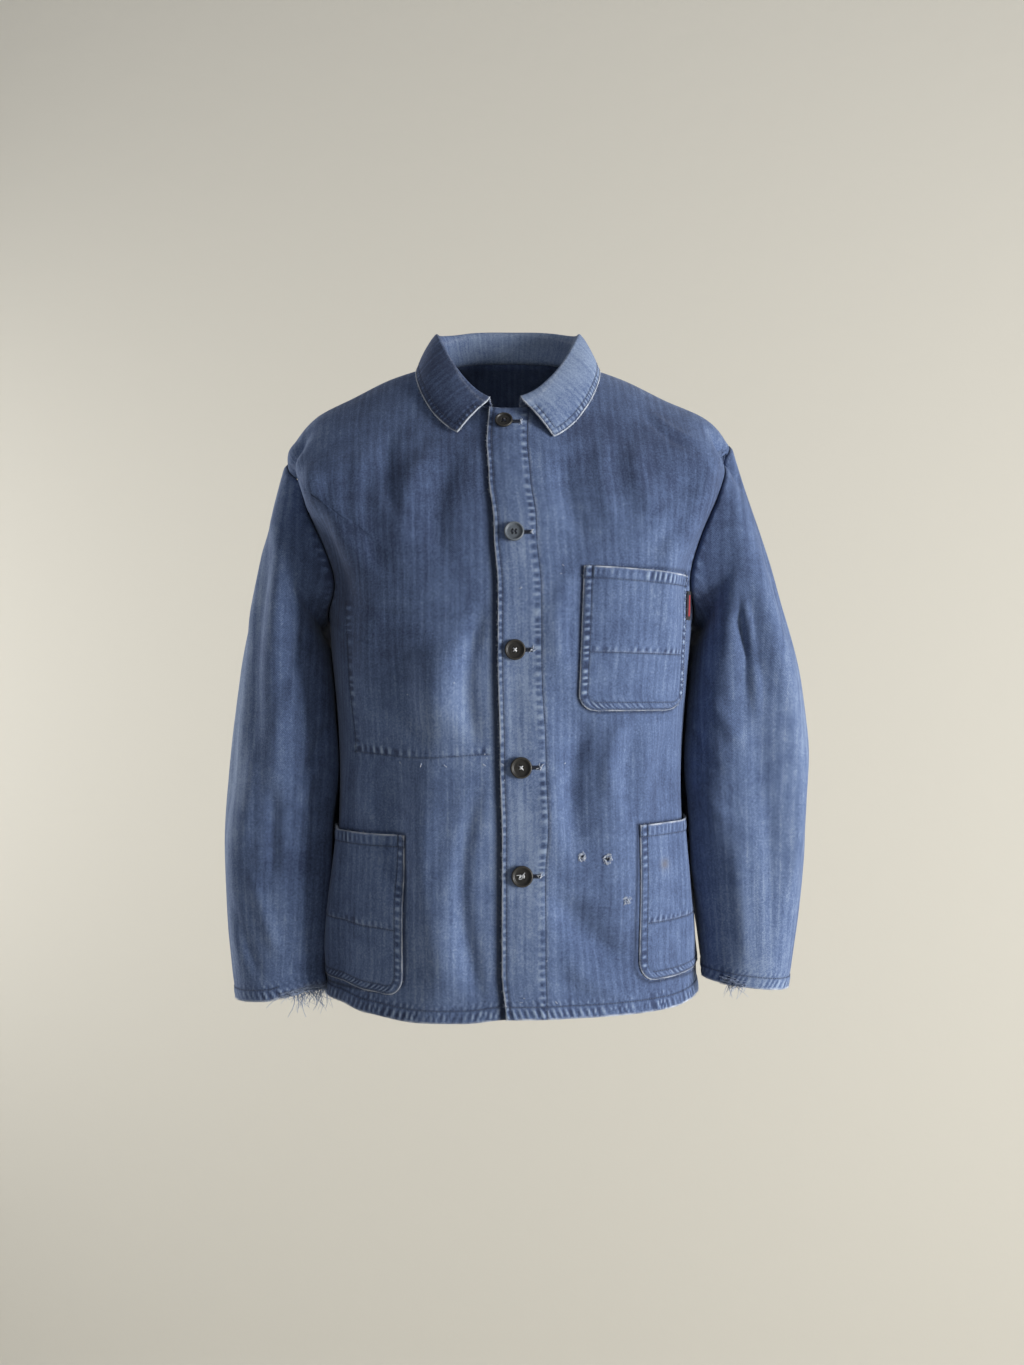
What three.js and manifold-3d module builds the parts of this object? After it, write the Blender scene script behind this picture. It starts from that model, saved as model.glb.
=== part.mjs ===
// A worn work jacket: a boxy hip-length jacket in washed blue herringbone twill, buttoned up,
// with a folded collar, one chest pocket, two lower pockets and straight sleeves with worn cuffs.
// It keeps the hollow form of a worn garment, so every piece is a thin wall and the neck, the hem
// and both cuffs are open.
//
// Millimetres. +Z is up, the front faces -Y and the wearer's left side is at +X. The origin is the
// point in the middle of the neck, level with the base of the collar, where the jacket is carried.
import * as THREE from "three";
import { mergeVertices } from "three/addons/utils/BufferGeometryUtils.js";
import Module from "manifold-3d";

const wasm = await Module();
wasm.setup();

// Driving sizes
const CLOTH = 1.6; // the wall of one ply of twill with its nap
const GAP = 0.35; // the clearance at every seam
const HEM_EXTRA = 0.9; // how much a turned hem is thicker than one ply
const HEM_HEIGHT = 13;
const CUFF_HEM_HEIGHT = 12;
const CUFF_STATION = 36; // how long the last station of a sleeve is near its end
const SAME_ROW = 0.01; // rows and stations this close count as one
const HALVINGS = 40; // how often a search halves its range

// Body sections from the neck seam (first row) over the shoulders and down to the hem (last row).
// side_x and side_z place the section at the side, front_y, front_z, back_y and back_z at the
// middle of the front and of the back, and square is the exponent of its rounded outline.
const BODY = [
  { side_x: 71, side_z: 20, front_y: 78, front_z: -44, back_y: 62, back_z: 36, square: 2.0 },
  { side_x: 93, side_z: 14, front_y: 90, front_z: -64, back_y: 78, back_z: 20, square: 2.05 },
  { side_x: 129, side_z: 1, front_y: 102, front_z: -90, back_y: 93, back_z: -6, square: 2.1 },
  { side_x: 169, side_z: -19, front_y: 113, front_z: -120, back_y: 105, back_z: -38, square: 2.15 },
  { side_x: 210, side_z: -39, front_y: 123, front_z: -150, back_y: 113, back_z: -74, square: 2.2 },
  { side_x: 232, side_z: -63, front_y: 131, front_z: -180, back_y: 118, back_z: -112, square: 2.3 },
  { side_x: 243, side_z: -88, front_y: 136, front_z: -207, back_y: 121, back_z: -148, square: 2.4 },
  { side_x: 226, side_z: -147, front_y: 140, front_z: -240, back_y: 122, back_z: -192, square: 2.45 },
  { side_x: 206, side_z: -208, front_y: 142, front_z: -272, back_y: 121, back_z: -238, square: 2.5 },
  { side_x: 196, side_z: -262, front_y: 143, front_z: -306, back_y: 119, back_z: -284, square: 2.55 },
  { side_x: 189, side_z: -334, front_y: 143, front_z: -352, back_y: 118, back_z: -344, square: 2.5 },
  { side_x: 184, side_z: -420, front_y: 142, front_z: -424, back_y: 119, back_z: -422, square: 2.5 },
  { side_x: 186, side_z: -500, front_y: 142, front_z: -501, back_y: 122, back_z: -501, square: 2.45 },
  { side_x: 194, side_z: -582, front_y: 142, front_z: -582, back_y: 126, back_z: -582, square: 2.35 },
  { side_x: 202, side_z: -664, front_y: 141, front_z: -664, back_y: 130, back_z: -664, square: 2.25 },
];
const LAST_ROW = BODY.length - 1;
const RISE = 2.6; // how late a section rises from its middle to its side
const NECK_SHIFT = { x: -3.3, full_row: 3, none_row: 4.4 }; // the neck sits a little off centre
// How far the hem is above its section (+) round the body, in degrees from the front.
const HEM_RISES = [
  { turn: -180, rise: 0 },
  { turn: -100, rise: 3 },
  { turn: -75, rise: 7 },
  { turn: -58, rise: 5 },
  { turn: -44, rise: -1 },
  { turn: -28, rise: -5 },
  { turn: -14, rise: -4 },
  { turn: 0, rise: 1 },
  { turn: 30, rise: 1 },
  { turn: 52, rise: 1 },
  { turn: 72, rise: 5 },
  { turn: 100, rise: 3 },
  { turn: 180, rise: 0 },
];
const HEM_REACH = 2.2; // how many rows above the hem still follow its rises

// The armhole is an oval on the body: rows from its top to the underarm, and its reach in degrees.
// The left one's top lies a little higher.
const ARMHOLE = { left_top_row: 5.3, right_top_row: 6, low_row: 9, front_reach: 34, back_reach: 31 };
// Next to the armhole the cloth falls back into a hollow, deepest at mid height.
const HOLLOW = { front_depth: 22, back_depth: 10, reach: 18, oval_radius: 75 };

// Large soft folds on the body. turn is the place round the body in degrees from the middle of the
// front (+ towards +X, 180 at the back), given at the fold's upper and lower end with the heights
// of those ends. depth is outwards (a ridge) or inwards (a trough), and reach is its half width.
const BODY_FOLDS = [
  { top_turn: -72, top_z: -52, low_turn: -64, low_z: -175, depth: -9, reach: 9 },
  { top_turn: 72, top_z: -48, low_turn: 65, low_z: -165, depth: -9, reach: 9 },
  { top_turn: -56, top_z: -75, low_turn: -40, low_z: -215, depth: 5, reach: 17 },
  { top_turn: -44, top_z: -100, low_turn: -31, low_z: -230, depth: -4, reach: 16 },
  { top_turn: 52, top_z: -95, low_turn: 36, low_z: -205, depth: -5, reach: 15 },
  { top_turn: 57, top_z: -105, low_turn: 43, low_z: -215, depth: 4, reach: 14 },
  { top_turn: -22, top_z: -250, low_turn: -24, low_z: -460, depth: 5, reach: 26 },
  { top_turn: -42, top_z: -300, low_turn: -38, low_z: -560, depth: -4, reach: 22 },
  { top_turn: -12, top_z: -430, low_turn: -24, low_z: -690, depth: 5, reach: 20 },
  { top_turn: 14, top_z: -530, low_turn: 33, low_z: -620, depth: -4.5, reach: 17 },
  { top_turn: 18, top_z: -330, low_turn: 20, low_z: -520, depth: -4, reach: 18 },
  { top_turn: 30, top_z: -380, low_turn: 34, low_z: -600, depth: 4, reach: 18 },
  { top_turn: -63, top_z: -380, low_turn: -66, low_z: -690, depth: 5, reach: 20 },
  { top_turn: 62, top_z: -360, low_turn: 66, low_z: -690, depth: 4, reach: 20 },
  { top_turn: 116, top_z: -110, low_turn: 132, low_z: -300, depth: -6, reach: 18 },
  { top_turn: -116, top_z: -110, low_turn: -132, low_z: -290, depth: -6, reach: 18 },
  { top_turn: 140, top_z: -260, low_turn: 146, low_z: -690, depth: 7, reach: 26 },
  { top_turn: -138, top_z: -240, low_turn: -143, low_z: -690, depth: 7, reach: 26 },
  { top_turn: 163, top_z: -300, low_turn: 160, low_z: -690, depth: -6, reach: 24 },
  { top_turn: -160, top_z: -330, low_turn: -163, low_z: -690, depth: -6, reach: 24 },
  { top_turn: 180, top_z: -280, low_turn: 178, low_z: -690, depth: 5, reach: 24 },
  { top_turn: 112, top_z: -400, low_turn: 108, low_z: -690, depth: -5, reach: 20 },
  { top_turn: -112, top_z: -420, low_turn: -110, low_z: -690, depth: -5, reach: 20 },
];
const GIRTH_PER_DEGREE = 3.0; // how much cloth lies in one degree round the body
const FOLD_END = 0.3; // the share of a fold's length over which it rises at each end

// The front edges: the left front laps over the right one. Places across the chest by height.
const LEFT_EDGE = [
  { z: -30, x: -19 },
  { z: -80, x: -21.5 },
  { z: -125, x: -19 },
  { z: -178, x: -17 },
  { z: -233, x: -13 },
  { z: -303, x: -13 },
  { z: -399, x: -11 },
  { z: -486, x: -9 },
  { z: -615, x: -9 },
  { z: -664, x: -5 },
];
const UNDERLAP_X = 24; // how far the right front reaches under the left one
const LAP = { height: 2.9, full_x: 30, none_x: 66 }; // how the left front comes down to the body

// Sleeve sections from the shoulder to the cuff. Each has its outer and its inner point seen from
// the front, and its middle and half depth from front to back. The body flattens them where it is
// in the way.
const SLEEVES = {
  left: [
    { outer_x: 255, outer_z: -122, inner_x: 207, inner_z: -268, middle_y: 3, depth: 70 },
    { outer_x: 271, outer_z: -168, inner_x: 206, inner_z: -277, middle_y: 4, depth: 75 },
    { outer_x: 289, outer_z: -222, inner_x: 199, inner_z: -292, middle_y: 5, depth: 78 },
    { outer_x: 306, outer_z: -278, inner_x: 192, inner_z: -320, middle_y: 5, depth: 78 },
    { outer_x: 319, outer_z: -334, inner_x: 184, inner_z: -362, middle_y: 4, depth: 76 },
    { outer_x: 325, outer_z: -396, inner_x: 178, inner_z: -414, middle_y: 1, depth: 73 },
    { outer_x: 321, outer_z: -462, inner_x: 180, inner_z: -470, middle_y: -5, depth: 68 },
    { outer_x: 315, outer_z: -526, inner_x: 187, inner_z: -526, middle_y: -12, depth: 62 },
    { outer_x: 307, outer_z: -590, inner_x: 199, inner_z: -586, middle_y: -20, depth: 55 },
    { outer_x: 296, outer_z: -652, inner_x: 206, inner_z: -641, middle_y: -28, depth: 48 },
  ],
  right: [
    { outer_x: 256, outer_z: -130, inner_x: 207, inner_z: -268, middle_y: 3, depth: 70 },
    { outer_x: 265, outer_z: -174, inner_x: 206, inner_z: -277, middle_y: 4, depth: 75 },
    { outer_x: 278, outer_z: -230, inner_x: 199, inner_z: -294, middle_y: 5, depth: 78 },
    { outer_x: 291, outer_z: -290, inner_x: 191, inner_z: -326, middle_y: 5, depth: 77 },
    { outer_x: 300, outer_z: -350, inner_x: 183, inner_z: -372, middle_y: 4, depth: 75 },
    { outer_x: 308, outer_z: -418, inner_x: 178, inner_z: -430, middle_y: 2, depth: 72 },
    { outer_x: 311, outer_z: -486, inner_x: 180, inner_z: -490, middle_y: -3, depth: 68 },
    { outer_x: 308, outer_z: -550, inner_x: 186, inner_z: -550, middle_y: -10, depth: 62 },
    { outer_x: 302, outer_z: -610, inner_x: 193, inner_z: -608, middle_y: -19, depth: 55 },
    { outer_x: 294, outer_z: -664, inner_x: 196, inner_z: -656, middle_y: -28, depth: 48 },
  ],
};
const SECTIONS = SLEEVES.left.length;
// The room from the body's inner face to a sleeve's inner face: both walls and a clearance, and
// the pockets' too below pocket_z.
const BESIDE = { room: 5.6, pocket_room: 11, pocket_z: -470 };
const SLEEVE_SQUARE = 2.15;
const SLEEVE_STATIONS = [0, 0.3, 0.65, 1, 1.5, 2, 2.5, 3, 3.6, 4.2, 4.8, 5.4, 6, 6.6, 7.2, 7.8, 8.4,
  9];
// Soft folds along the sleeves. turn runs from the outer side (0) over the front (90) to the
// underarm (180) and the back (270). from and to are sections, counted from the armhole.
const SLEEVE_FOLDS = {
  left: [
    { top_turn: 62, low_turn: 40, from: 1.2, to: 9.4, depth: 5, reach: 13 },
    { top_turn: 92, low_turn: 74, from: 2, to: 8.6, depth: -5, reach: 15 },
    { top_turn: 125, low_turn: 118, from: 3, to: 8, depth: 4, reach: 16 },
    { top_turn: 15, low_turn: 5, from: 2.5, to: 8, depth: -3, reach: 16 },
    { top_turn: 300, low_turn: 318, from: 1.5, to: 8, depth: -6, reach: 17 },
    { top_turn: 262, low_turn: 270, from: 2, to: 9, depth: 5, reach: 18 },
  ],
  right: [
    { top_turn: 48, low_turn: 66, from: 1.4, to: 6.2, depth: -5, reach: 14 },
    { top_turn: 22, low_turn: 30, from: 3.2, to: 7.4, depth: -5, reach: 12 },
    { top_turn: 80, low_turn: 92, from: 1.5, to: 8.2, depth: 5, reach: 17 },
    { top_turn: 45, low_turn: 48, from: 6, to: 9.6, depth: 4, reach: 14 },
    { top_turn: 128, low_turn: 120, from: 3, to: 8.5, depth: -4, reach: 15 },
    { top_turn: 298, low_turn: 314, from: 1.5, to: 8, depth: -6, reach: 17 },
    { top_turn: 258, low_turn: 268, from: 2, to: 9, depth: 5, reach: 18 },
  ],
};
const SLEEVE_PER_DEGREE = 1.1; // how much cloth lies in one degree round a sleeve

// The right cuff's edge is worn away between the front and the inner side, in the same degrees.
const CUFF_WEAR = [
  { turn: 0, rise: 0 },
  { turn: 80, rise: 0 },
  { turn: 96, rise: 2.5 },
  { turn: 112, rise: 4 },
  { turn: 128, rise: 6.5 },
  { turn: 144, rise: 5 },
  { turn: 160, rise: 6 },
  { turn: 178, rise: 3 },
  { turn: 200, rise: 0 },
  { turn: 360, rise: 0 },
];
// The threads that hang there: strands on a narrow strip just under the worn edge.
const FRAY = {
  from: 97,
  to: 173,
  strands: 22,
  longest: 24,
  shortest: 6,
  radius: 0.55,
  taper: 0.45, // how much thinner a strand is at its tip
  drift: 0.7, // how far a strand strays sideways, as a share of its length
  lean: 2, // how far it leans away from the arm
  clear: 1.2,
  strip_height: 1.6,
  strip_half: 0.7,
  strip_steps: 10,
};

// Collar stations from its front end to the middle of the back. seam_turn is its place on the neck
// seam, stand how high it rises, out how far its fold leans outwards, and leaf_turn and leaf_row
// where the edge of the turned-down leaf lies over the body.
const COLLAR = [
  { seam_turn: 12, stand: 8, out: 7, leaf_turn: 26, leaf_row: 1.7 },
  { seam_turn: 33, stand: 15, out: 6, leaf_turn: 42, leaf_row: 1.62 },
  { seam_turn: 60, stand: 23, out: 6, leaf_turn: 64, leaf_row: 1.4 },
  { seam_turn: 90, stand: 31, out: 7, leaf_turn: 92, leaf_row: 1.1 },
  { seam_turn: 135, stand: 34, out: 6, leaf_turn: 135, leaf_row: 1.15 },
  { seam_turn: 180, stand: 35, out: 6, leaf_turn: 180, leaf_row: 1.2 },
];
const COLLAR_STATIONS = [0, 0.4, 0.8, 1.3, 1.8, 2.3, 2.8, 3.4, 4, 4.5];
const COLLAR_CLOTH = 1.6;
const COLLAR_ROLL = 2.6; // the radius of the fold
const COLLAR_SEAM_GAP = 0.45; // between its foot and the neck seam
const COLLAR_FOOT = 2.2; // how high the stand rises straight before it leans out
const COLLAR_BEND = 0.55; // where the stand starts to curve into the fold, as a share of its height
const COLLAR_PUFF = 3; // how far the middle of the leaf stands off
const COLLAR_CLEAR = 1.45; // between the leaf's edge and the panel under it
// At the front end the seam comes closer to the middle, and the worn left point has sunk and closed.
const COLLAR_END = { seam_turn: 2.2, leaf_turn: 3.5, leaf_row: 0.12 };

// Patch pockets: the top corners and the bottom, seen from the front, and the corner radius.
const CHEST_POCKET = { left_x: 72.5, right_x: 182, low_left_x: 66.5, low_right_x: 175, top_z: -211,
  bottom_z: -356, drop: 4, corner: 19, bulge: 2.6 };
// The lower pockets wrap round the side, so their width is cloth measured from the front edge.
const LOWER_POCKETS = [
  { name: "lower_pocket_left", side: 1, edge_x: 129, width: 146, top_z: -472, bottom_z: -632 },
  { name: "lower_pocket_right", side: -1, edge_x: 108, width: 158, top_z: -482, bottom_z: -641 },
];
const LOWER_CORNER = 20;
const LOWER_BULGE = 2.8;
const POCKET_CLOTH = 1.5;
const POCKET_CLEAR = 1.25; // over the panel, whose folds it bridges
const POCKET_HEM = 12;
const POCKET_HEM_EXTRA = 0.7; // how much its turned hem is thicker
const POCKET_MOUTH = 0.12; // how far the bulge is already risen at the mouth, as a share of the height
const POCKET_SHARES = [0.3, 0.48, 0.66]; // rows between its hem and its round corners
const CORNER_SHARES = [0, 0.25, 0.5, 0.8]; // rows down a round corner
const POCKET_COLUMNS = 8;
// The pocket sewn to the inside of the right front, whose stitching shows outside.
const INNER_POCKET = { left_x: -165, right_x: -26, top_z: -243, bottom_z: -404, clear: 1.65,
  rows: 8, columns: 10 };

// The top button is the smallest, and the second a replacement of another size.
const BUTTONS = [
  { x: -4, z: -60, radius: 9.3 },
  { x: 3, z: -178, radius: 10.2 },
  { x: 4, z: -295, radius: 10.5 },
  { x: 10, z: -412, radius: 10.9 },
  { x: 11, z: -520, radius: 10.9 },
];

// A four-hole button, lying this clear of the cloth. Its section is in shares of radius and height.
const BUTTON = { thickness: 3.4, clear: 0.6, facets: 20, hole: 0.95, hole_at: 1.8, hole_facets: 6 };
const BUTTON_SECTION = [
  { out: 0, up: 0 },
  { out: 0.8, up: 0 },
  { out: 1, up: 0.45 },
  { out: 0.94, up: 1 },
  { out: 0.76, up: 0.94 },
  { out: 0.62, up: 0.6 },
  { out: 0, up: 0.55 },
];

const TAB = { x: 183.5, top_z: -231, height: 31, width: 5.5, thickness: 0.9, slant: 3, clear: 0.65,
  rows: 4, columns: 2 };

const COLOURS = {
  cloth: { color: 0x4b628c, roughness: 0.92, metalness: 0 },
  pocket: { color: 0x556b92, roughness: 0.92, metalness: 0 },
  button: { color: 0x25241f, roughness: 0.38, metalness: 0 },
  thread: { color: 0xb9c4d6, roughness: 0.95, metalness: 0 },
  tab: { color: 0x17161b, roughness: 0.8, metalness: 0 },
};

const radians = (degrees) => (degrees * Math.PI) / 180;
const mix = (a, b, share) => a + (b - a) * share;
const clamp = (value, low, high) => Math.min(high, Math.max(low, value));
const smooth = (from, to, value) => {
  const s = clamp((value - from) / (to - from), 0, 1);
  return s * s * (3 - 2 * s);
};
const bell = (distance, reach) => Math.exp(-((distance / reach) ** 2));
const vec = (x, y, z) => new THREE.Vector3(x, y, z);

// A smooth curve through four values, at share s between the middle two.
function throughFour(a, b, c, d, s) {
  const cubic = 3 * b - a - 3 * c + d;
  const square = 2 * a - 5 * b + 4 * c - d;
  return b + 0.5 * s * (c - a + s * (square + s * cubic));
}

// The value of a table's column at a fractional row.
function column(table, name, row) {
  const last = table.length - 1;
  const i = clamp(Math.floor(row), 0, last - 1);
  const at = (k) => table[clamp(k, 0, last)][name];
  return throughFour(at(i - 1), at(i), at(i + 1), at(i + 2), row - i);
}

// The value of one column of a table where another, which rises or falls steadily, has a value.
function columnBy(table, key, name, value) {
  const rises = table[1][key] > table[0][key];
  const found = table.findIndex((p) => (rises ? p[key] >= value : p[key] <= value));
  const i = found < 0 ? table.length - 1 : Math.max(1, found);
  const [a, b] = [table[i - 1], table[i]];
  return mix(a[name], b[name], smooth(a[key], b[key], value));
}

// How far a point is from the rounded outline's unit oval in a direction.
function outline(turn, square) {
  const [s, c] = [Math.abs(Math.sin(turn)), Math.abs(Math.cos(turn))];
  return (s ** square + c ** square) ** (-1 / square);
}

// The sum of folds at a turn. along says how far down a fold the place is, from 0 to 1.
function foldSum(folds, turn, clothPerDegree, along) {
  let height = 0;
  for (const f of folds) {
    const share = along(f);
    if (share < 0 || share > 1) continue;
    const away = ((turn - mix(f.top_turn, f.low_turn, share) + 540) % 360) - 180;
    const ends = smooth(0, FOLD_END, share) * smooth(1, 1 - FOLD_END, share);
    height += f.depth * ends * bell(away * clothPerDegree, f.reach);
  }
  return height;
}

function bodyFold(turn, z) {
  return foldSum(BODY_FOLDS, turn, GIRTH_PER_DEGREE, (f) => (z - f.top_z) / (f.low_z - f.top_z));
}

// The middle row and the half height, in rows, of the armhole on a side.
function armholeSpan(side) {
  const top = side > 0 ? ARMHOLE.left_top_row : ARMHOLE.right_top_row;
  return { middle: (top + ARMHOLE.low_row) / 2, half: (ARMHOLE.low_row - top) / 2 };
}

// The place of a body point relative to the armhole: oval is 1 on its edge, and sink is 0 at the
// side of the body and 1 at the armhole's foremost or hindmost point.
function byArmhole(turn, row) {
  const { middle, half } = armholeSpan(turn);
  const isFront = Math.abs(turn) < 90;
  const across = (90 - Math.abs(turn)) / (isFront ? ARMHOLE.front_reach : -ARMHOLE.back_reach);
  const down = (row - middle) / half;
  return { isFront, oval: Math.hypot(across, down), sink: clamp(across, 0, 1) };
}

// The bare body surface, without its small normal moves.
function bodyBase(turn, row) {
  const angle = radians(turn);
  const isFront = Math.cos(angle) >= 0;
  const value = (name) => column(BODY, name, row);
  const r = outline(angle, value("square"));
  const [sideX, middleY] = [value("side_x"), value(isFront ? "front_y" : "back_y")];
  const middleZ = value(isFront ? "front_z" : "back_z");
  const across = Math.sin(angle) * r;
  const point = vec(
    sideX * across,
    -middleY * Math.cos(angle) * r,
    mix(middleZ, value("side_z"), Math.abs(across) ** RISE),
  );
  point.x += NECK_SHIFT.x * smooth(NECK_SHIFT.none_row, NECK_SHIFT.full_row, row);
  point.z += columnBy(HEM_RISES, "turn", "rise", turn) * smooth(LAST_ROW - HEM_REACH, LAST_ROW, row);
  const near = byArmhole(turn, row);
  const depth = near.isFront ? HOLLOW.front_depth : -HOLLOW.back_depth;
  const away = Math.abs(near.oval - 1) * HOLLOW.oval_radius;
  point.y += depth * near.sink * bell(away, HOLLOW.reach);
  return point;
}

// A body point with its folds, moved out by lift along the surface.
function body(turn, row, lift = 0) {
  const step = 0.5;
  const rowStep = 0.05;
  const low = clamp(row - rowStep, 0, LAST_ROW);
  const high = clamp(row + rowStep, 0, LAST_ROW);
  const folded = (a, b) => {
    const p = bodyBase(a, b);
    const n = bodyBase(a + step, b).sub(bodyBase(a - step, b));
    const down = bodyBase(a, clamp(b + rowStep, 0, LAST_ROW)).sub(
      bodyBase(a, clamp(b - rowStep, 0, LAST_ROW)),
    );
    n.cross(down).normalize().negate();
    return p.addScaledVector(n, bodyFold(a, p.z));
  };
  const point = folded(turn, row);
  const round = folded(turn + step, row).sub(folded(turn - step, row));
  const down = folded(turn, high).sub(folded(turn, low));
  const normal = down.clone().cross(round).normalize();
  return Object.assign(point.clone().addScaledVector(normal, lift), {
    normal,
    down: down.normalize(),
  });
}

// How far the left front is lifted where it laps over the right one.
function lap(turn, row) {
  return LAP.height * (1 - smooth(LAP.full_x, LAP.none_x, bodyBase(turn, row).x));
}

// The row and the turn of the front point seen at x, z.
function seenAt(x, z) {
  let [low, high] = [0, LAST_ROW];
  const across = (row) => Math.min(0.999, Math.abs(x) / column(BODY, "side_x", row));
  for (let i = 0; i < HALVINGS; i++) {
    const row = (low + high) / 2;
    const height = mix(column(BODY, "front_z", row), column(BODY, "side_z", row), across(row) ** RISE);
    if (height > z) low = row;
    else high = row;
  }
  const row = (low + high) / 2;
  const square = column(BODY, "square", row);
  const ahead = (1 - across(row) ** square) ** (1 / square);
  const turn = (Math.atan2(across(row), ahead) * 180) / Math.PI;
  return { turn: Math.sign(x) * turn, row };
}

// A closed wall between two grids of points. A tube closes on itself across its columns.
function wall(inner, outer, isTube = false) {
  const rows = inner.length;
  const columns = inner[0].length;
  const points = [...outer.flat(), ...inner.flat()];
  const at = (side, i, j) => side * rows * columns + i * columns + (j % columns);
  const faces = [];
  const quad = (a, b, c, d) => faces.push(a, b, c, a, c, d);
  const spans = isTube ? columns : columns - 1;
  for (let i = 0; i < rows - 1; i++) {
    for (let j = 0; j < spans; j++) {
      quad(at(0, i, j), at(0, i + 1, j), at(0, i + 1, j + 1), at(0, i, j + 1));
      quad(at(1, i, j), at(1, i, j + 1), at(1, i + 1, j + 1), at(1, i + 1, j));
    }
    if (!isTube) {
      quad(at(0, i, 0), at(1, i, 0), at(1, i + 1, 0), at(0, i + 1, 0));
      quad(at(0, i + 1, spans), at(1, i + 1, spans), at(1, i, spans), at(0, i, spans));
    }
  }
  for (let j = 0; j < spans; j++) {
    quad(at(0, 0, j), at(0, 0, j + 1), at(1, 0, j + 1), at(1, 0, j));
    quad(at(1, rows - 1, j), at(1, rows - 1, j + 1), at(0, rows - 1, j + 1), at(0, rows - 1, j));
  }
  const geometry = new THREE.BufferGeometry();
  const flat = points.flatMap((p) => [p.x, p.y, p.z]);
  geometry.setAttribute("position", new THREE.Float32BufferAttribute(flat, 3));
  geometry.setIndex(facingOut(points, faces));
  geometry.computeVertexNormals();
  return geometry;
}

// Turns every face round if the body they close is inside out.
function facingOut(points, faces) {
  let volume = 0;
  for (let i = 0; i < faces.length; i += 3) {
    const [a, b, c] = [points[faces[i]], points[faces[i + 1]], points[faces[i + 2]]];
    volume += a.dot(b.clone().cross(c));
  }
  if (volume > 0) return faces;
  const turned = [...faces];
  for (let i = 0; i < faces.length; i += 3) {
    [turned[i + 1], turned[i + 2]] = [faces[i + 2], faces[i + 1]];
  }
  return turned;
}

// A grid of points from a function of the row and the column.
function grid(rows, columns, place) {
  return rows.map((r) => columns.map((c) => place(r, c)));
}

const evenly = (count) => Array.from({ length: count + 1 }, (_, i) => i / count);

function piece(name, geometry, colour) {
  const mesh = new THREE.Mesh(geometry, new THREE.MeshStandardMaterial(colour));
  mesh.name = name;
  return mesh;
}

// The rows of a panel's grid: over the shoulder, down the armholes of its sides at the sleeves' own
// points, and on to the hem, where two close rows make the step of the turned hem.
const SLEEVE_POINTS = 24;
const SLEEVE_LIFT = 1.6; // how far a sleeve starts over the armhole's edge
const SHOULDER_ROWS = [0, 0.6, 1.3, 2, 2.8, 3.6, 4.4, 5.05];
const SKIRT_ROWS = [9.6, 10.3, 11, 11.8, 12.6, 13.3];
const LEAST_STEP = 0.045;
const FRONT_COLUMNS = 18;
const BACK_COLUMNS = 24;
function bodyRows(sides) {
  const halfway = evenly(SLEEVE_POINTS / 2);
  const armholes = sides.flatMap((side) => halfway.map((share) => armholeRow(side, share * 180)));
  const step = HEM_HEIGHT / (BODY[LAST_ROW - 1].side_z - BODY[LAST_ROW].side_z);
  const hem = [LAST_ROW - step - LEAST_STEP, LAST_ROW - step, LAST_ROW];
  const rows = [...SHOULDER_ROWS, ...armholes, ...SKIRT_ROWS, ...hem].sort((a, b) => a - b);
  return rows.filter((row, i) => i === 0 || row - rows[i - 1] > LEAST_STEP / 2);
}

// The body row of an armhole point, 0 at the top and 180 at the underarm.
function armholeRow(side, angle) {
  const { middle, half } = armholeSpan(side);
  return middle - half * Math.cos(radians(angle));
}

// Where a panel ends at a row: the shoulder and side seam, or the edge of the armhole.
function outerTurn(side, row, reach) {
  const { middle, half } = armholeSpan(side);
  const across = Math.sqrt(Math.max(0, 1 - ((row - middle) / half) ** 2));
  const seam = (GAP / 2 / column(BODY, "front_y", row)) * (180 / Math.PI);
  return reach * across + seam;
}

// The wall's thickness at a row of the body: doubled in the hem.
function clothAt(row) {
  const step = HEM_HEIGHT / (BODY[LAST_ROW - 1].side_z - BODY[LAST_ROW].side_z);
  return CLOTH + (row > LAST_ROW - step - SAME_ROW ? HEM_EXTRA : 0);
}

// One front. side is 1 for the wearer's left, which laps over, and -1 for the right.
function front(name, side) {
  const columns = evenly(FRONT_COLUMNS);
  const place = (row, share, lift) => {
    const z = column(BODY, "front_z", row);
    const edge = side > 0 ? columnBy(LEFT_EDGE, "z", "x", z) : UNDERLAP_X;
    const limit = seenAt(edge, z).turn;
    const end = side * (90 - outerTurn(side, row, ARMHOLE.front_reach));
    const turn = mix(limit, end, share);
    return body(turn, row, lift + (side > 0 ? lap(turn, row) : 0));
  };
  const rows = bodyRows([side]);
  const inner = grid(rows, columns, (row, share) => place(row, share, 0));
  const outer = grid(rows, columns, (row, share) => place(row, share, clothAt(row)));
  return piece(name, wall(inner, outer), COLOURS.cloth);
}

function back() {
  const columns = evenly(BACK_COLUMNS);
  const place = (row, share, lift) => {
    const end = (side) => 90 - outerTurn(side, row, ARMHOLE.back_reach);
    const past = mix(-end(1), end(-1), share);
    return body(past < 0 ? 180 + past : past - 180, row, lift);
  };
  const rows = bodyRows([1, -1]);
  const inner = grid(rows, columns, (row, share) => place(row, share, 0));
  const outer = grid(rows, columns, (row, share) => place(row, share, clothAt(row)));
  return piece("back", wall(inner, outer), COLOURS.cloth);
}

// A point of the armhole's edge on the outside of the body, where the sleeve starts.
function armholePoint(side, angle) {
  const down = angle > 180 ? 360 - angle : angle;
  const reach = angle > 180 ? -ARMHOLE.back_reach : ARMHOLE.front_reach;
  const turn = side * (90 - reach * Math.abs(Math.sin(radians(angle))));
  return body(turn, armholeRow(side, down), CLOTH + SLEEVE_LIFT);
}

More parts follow.
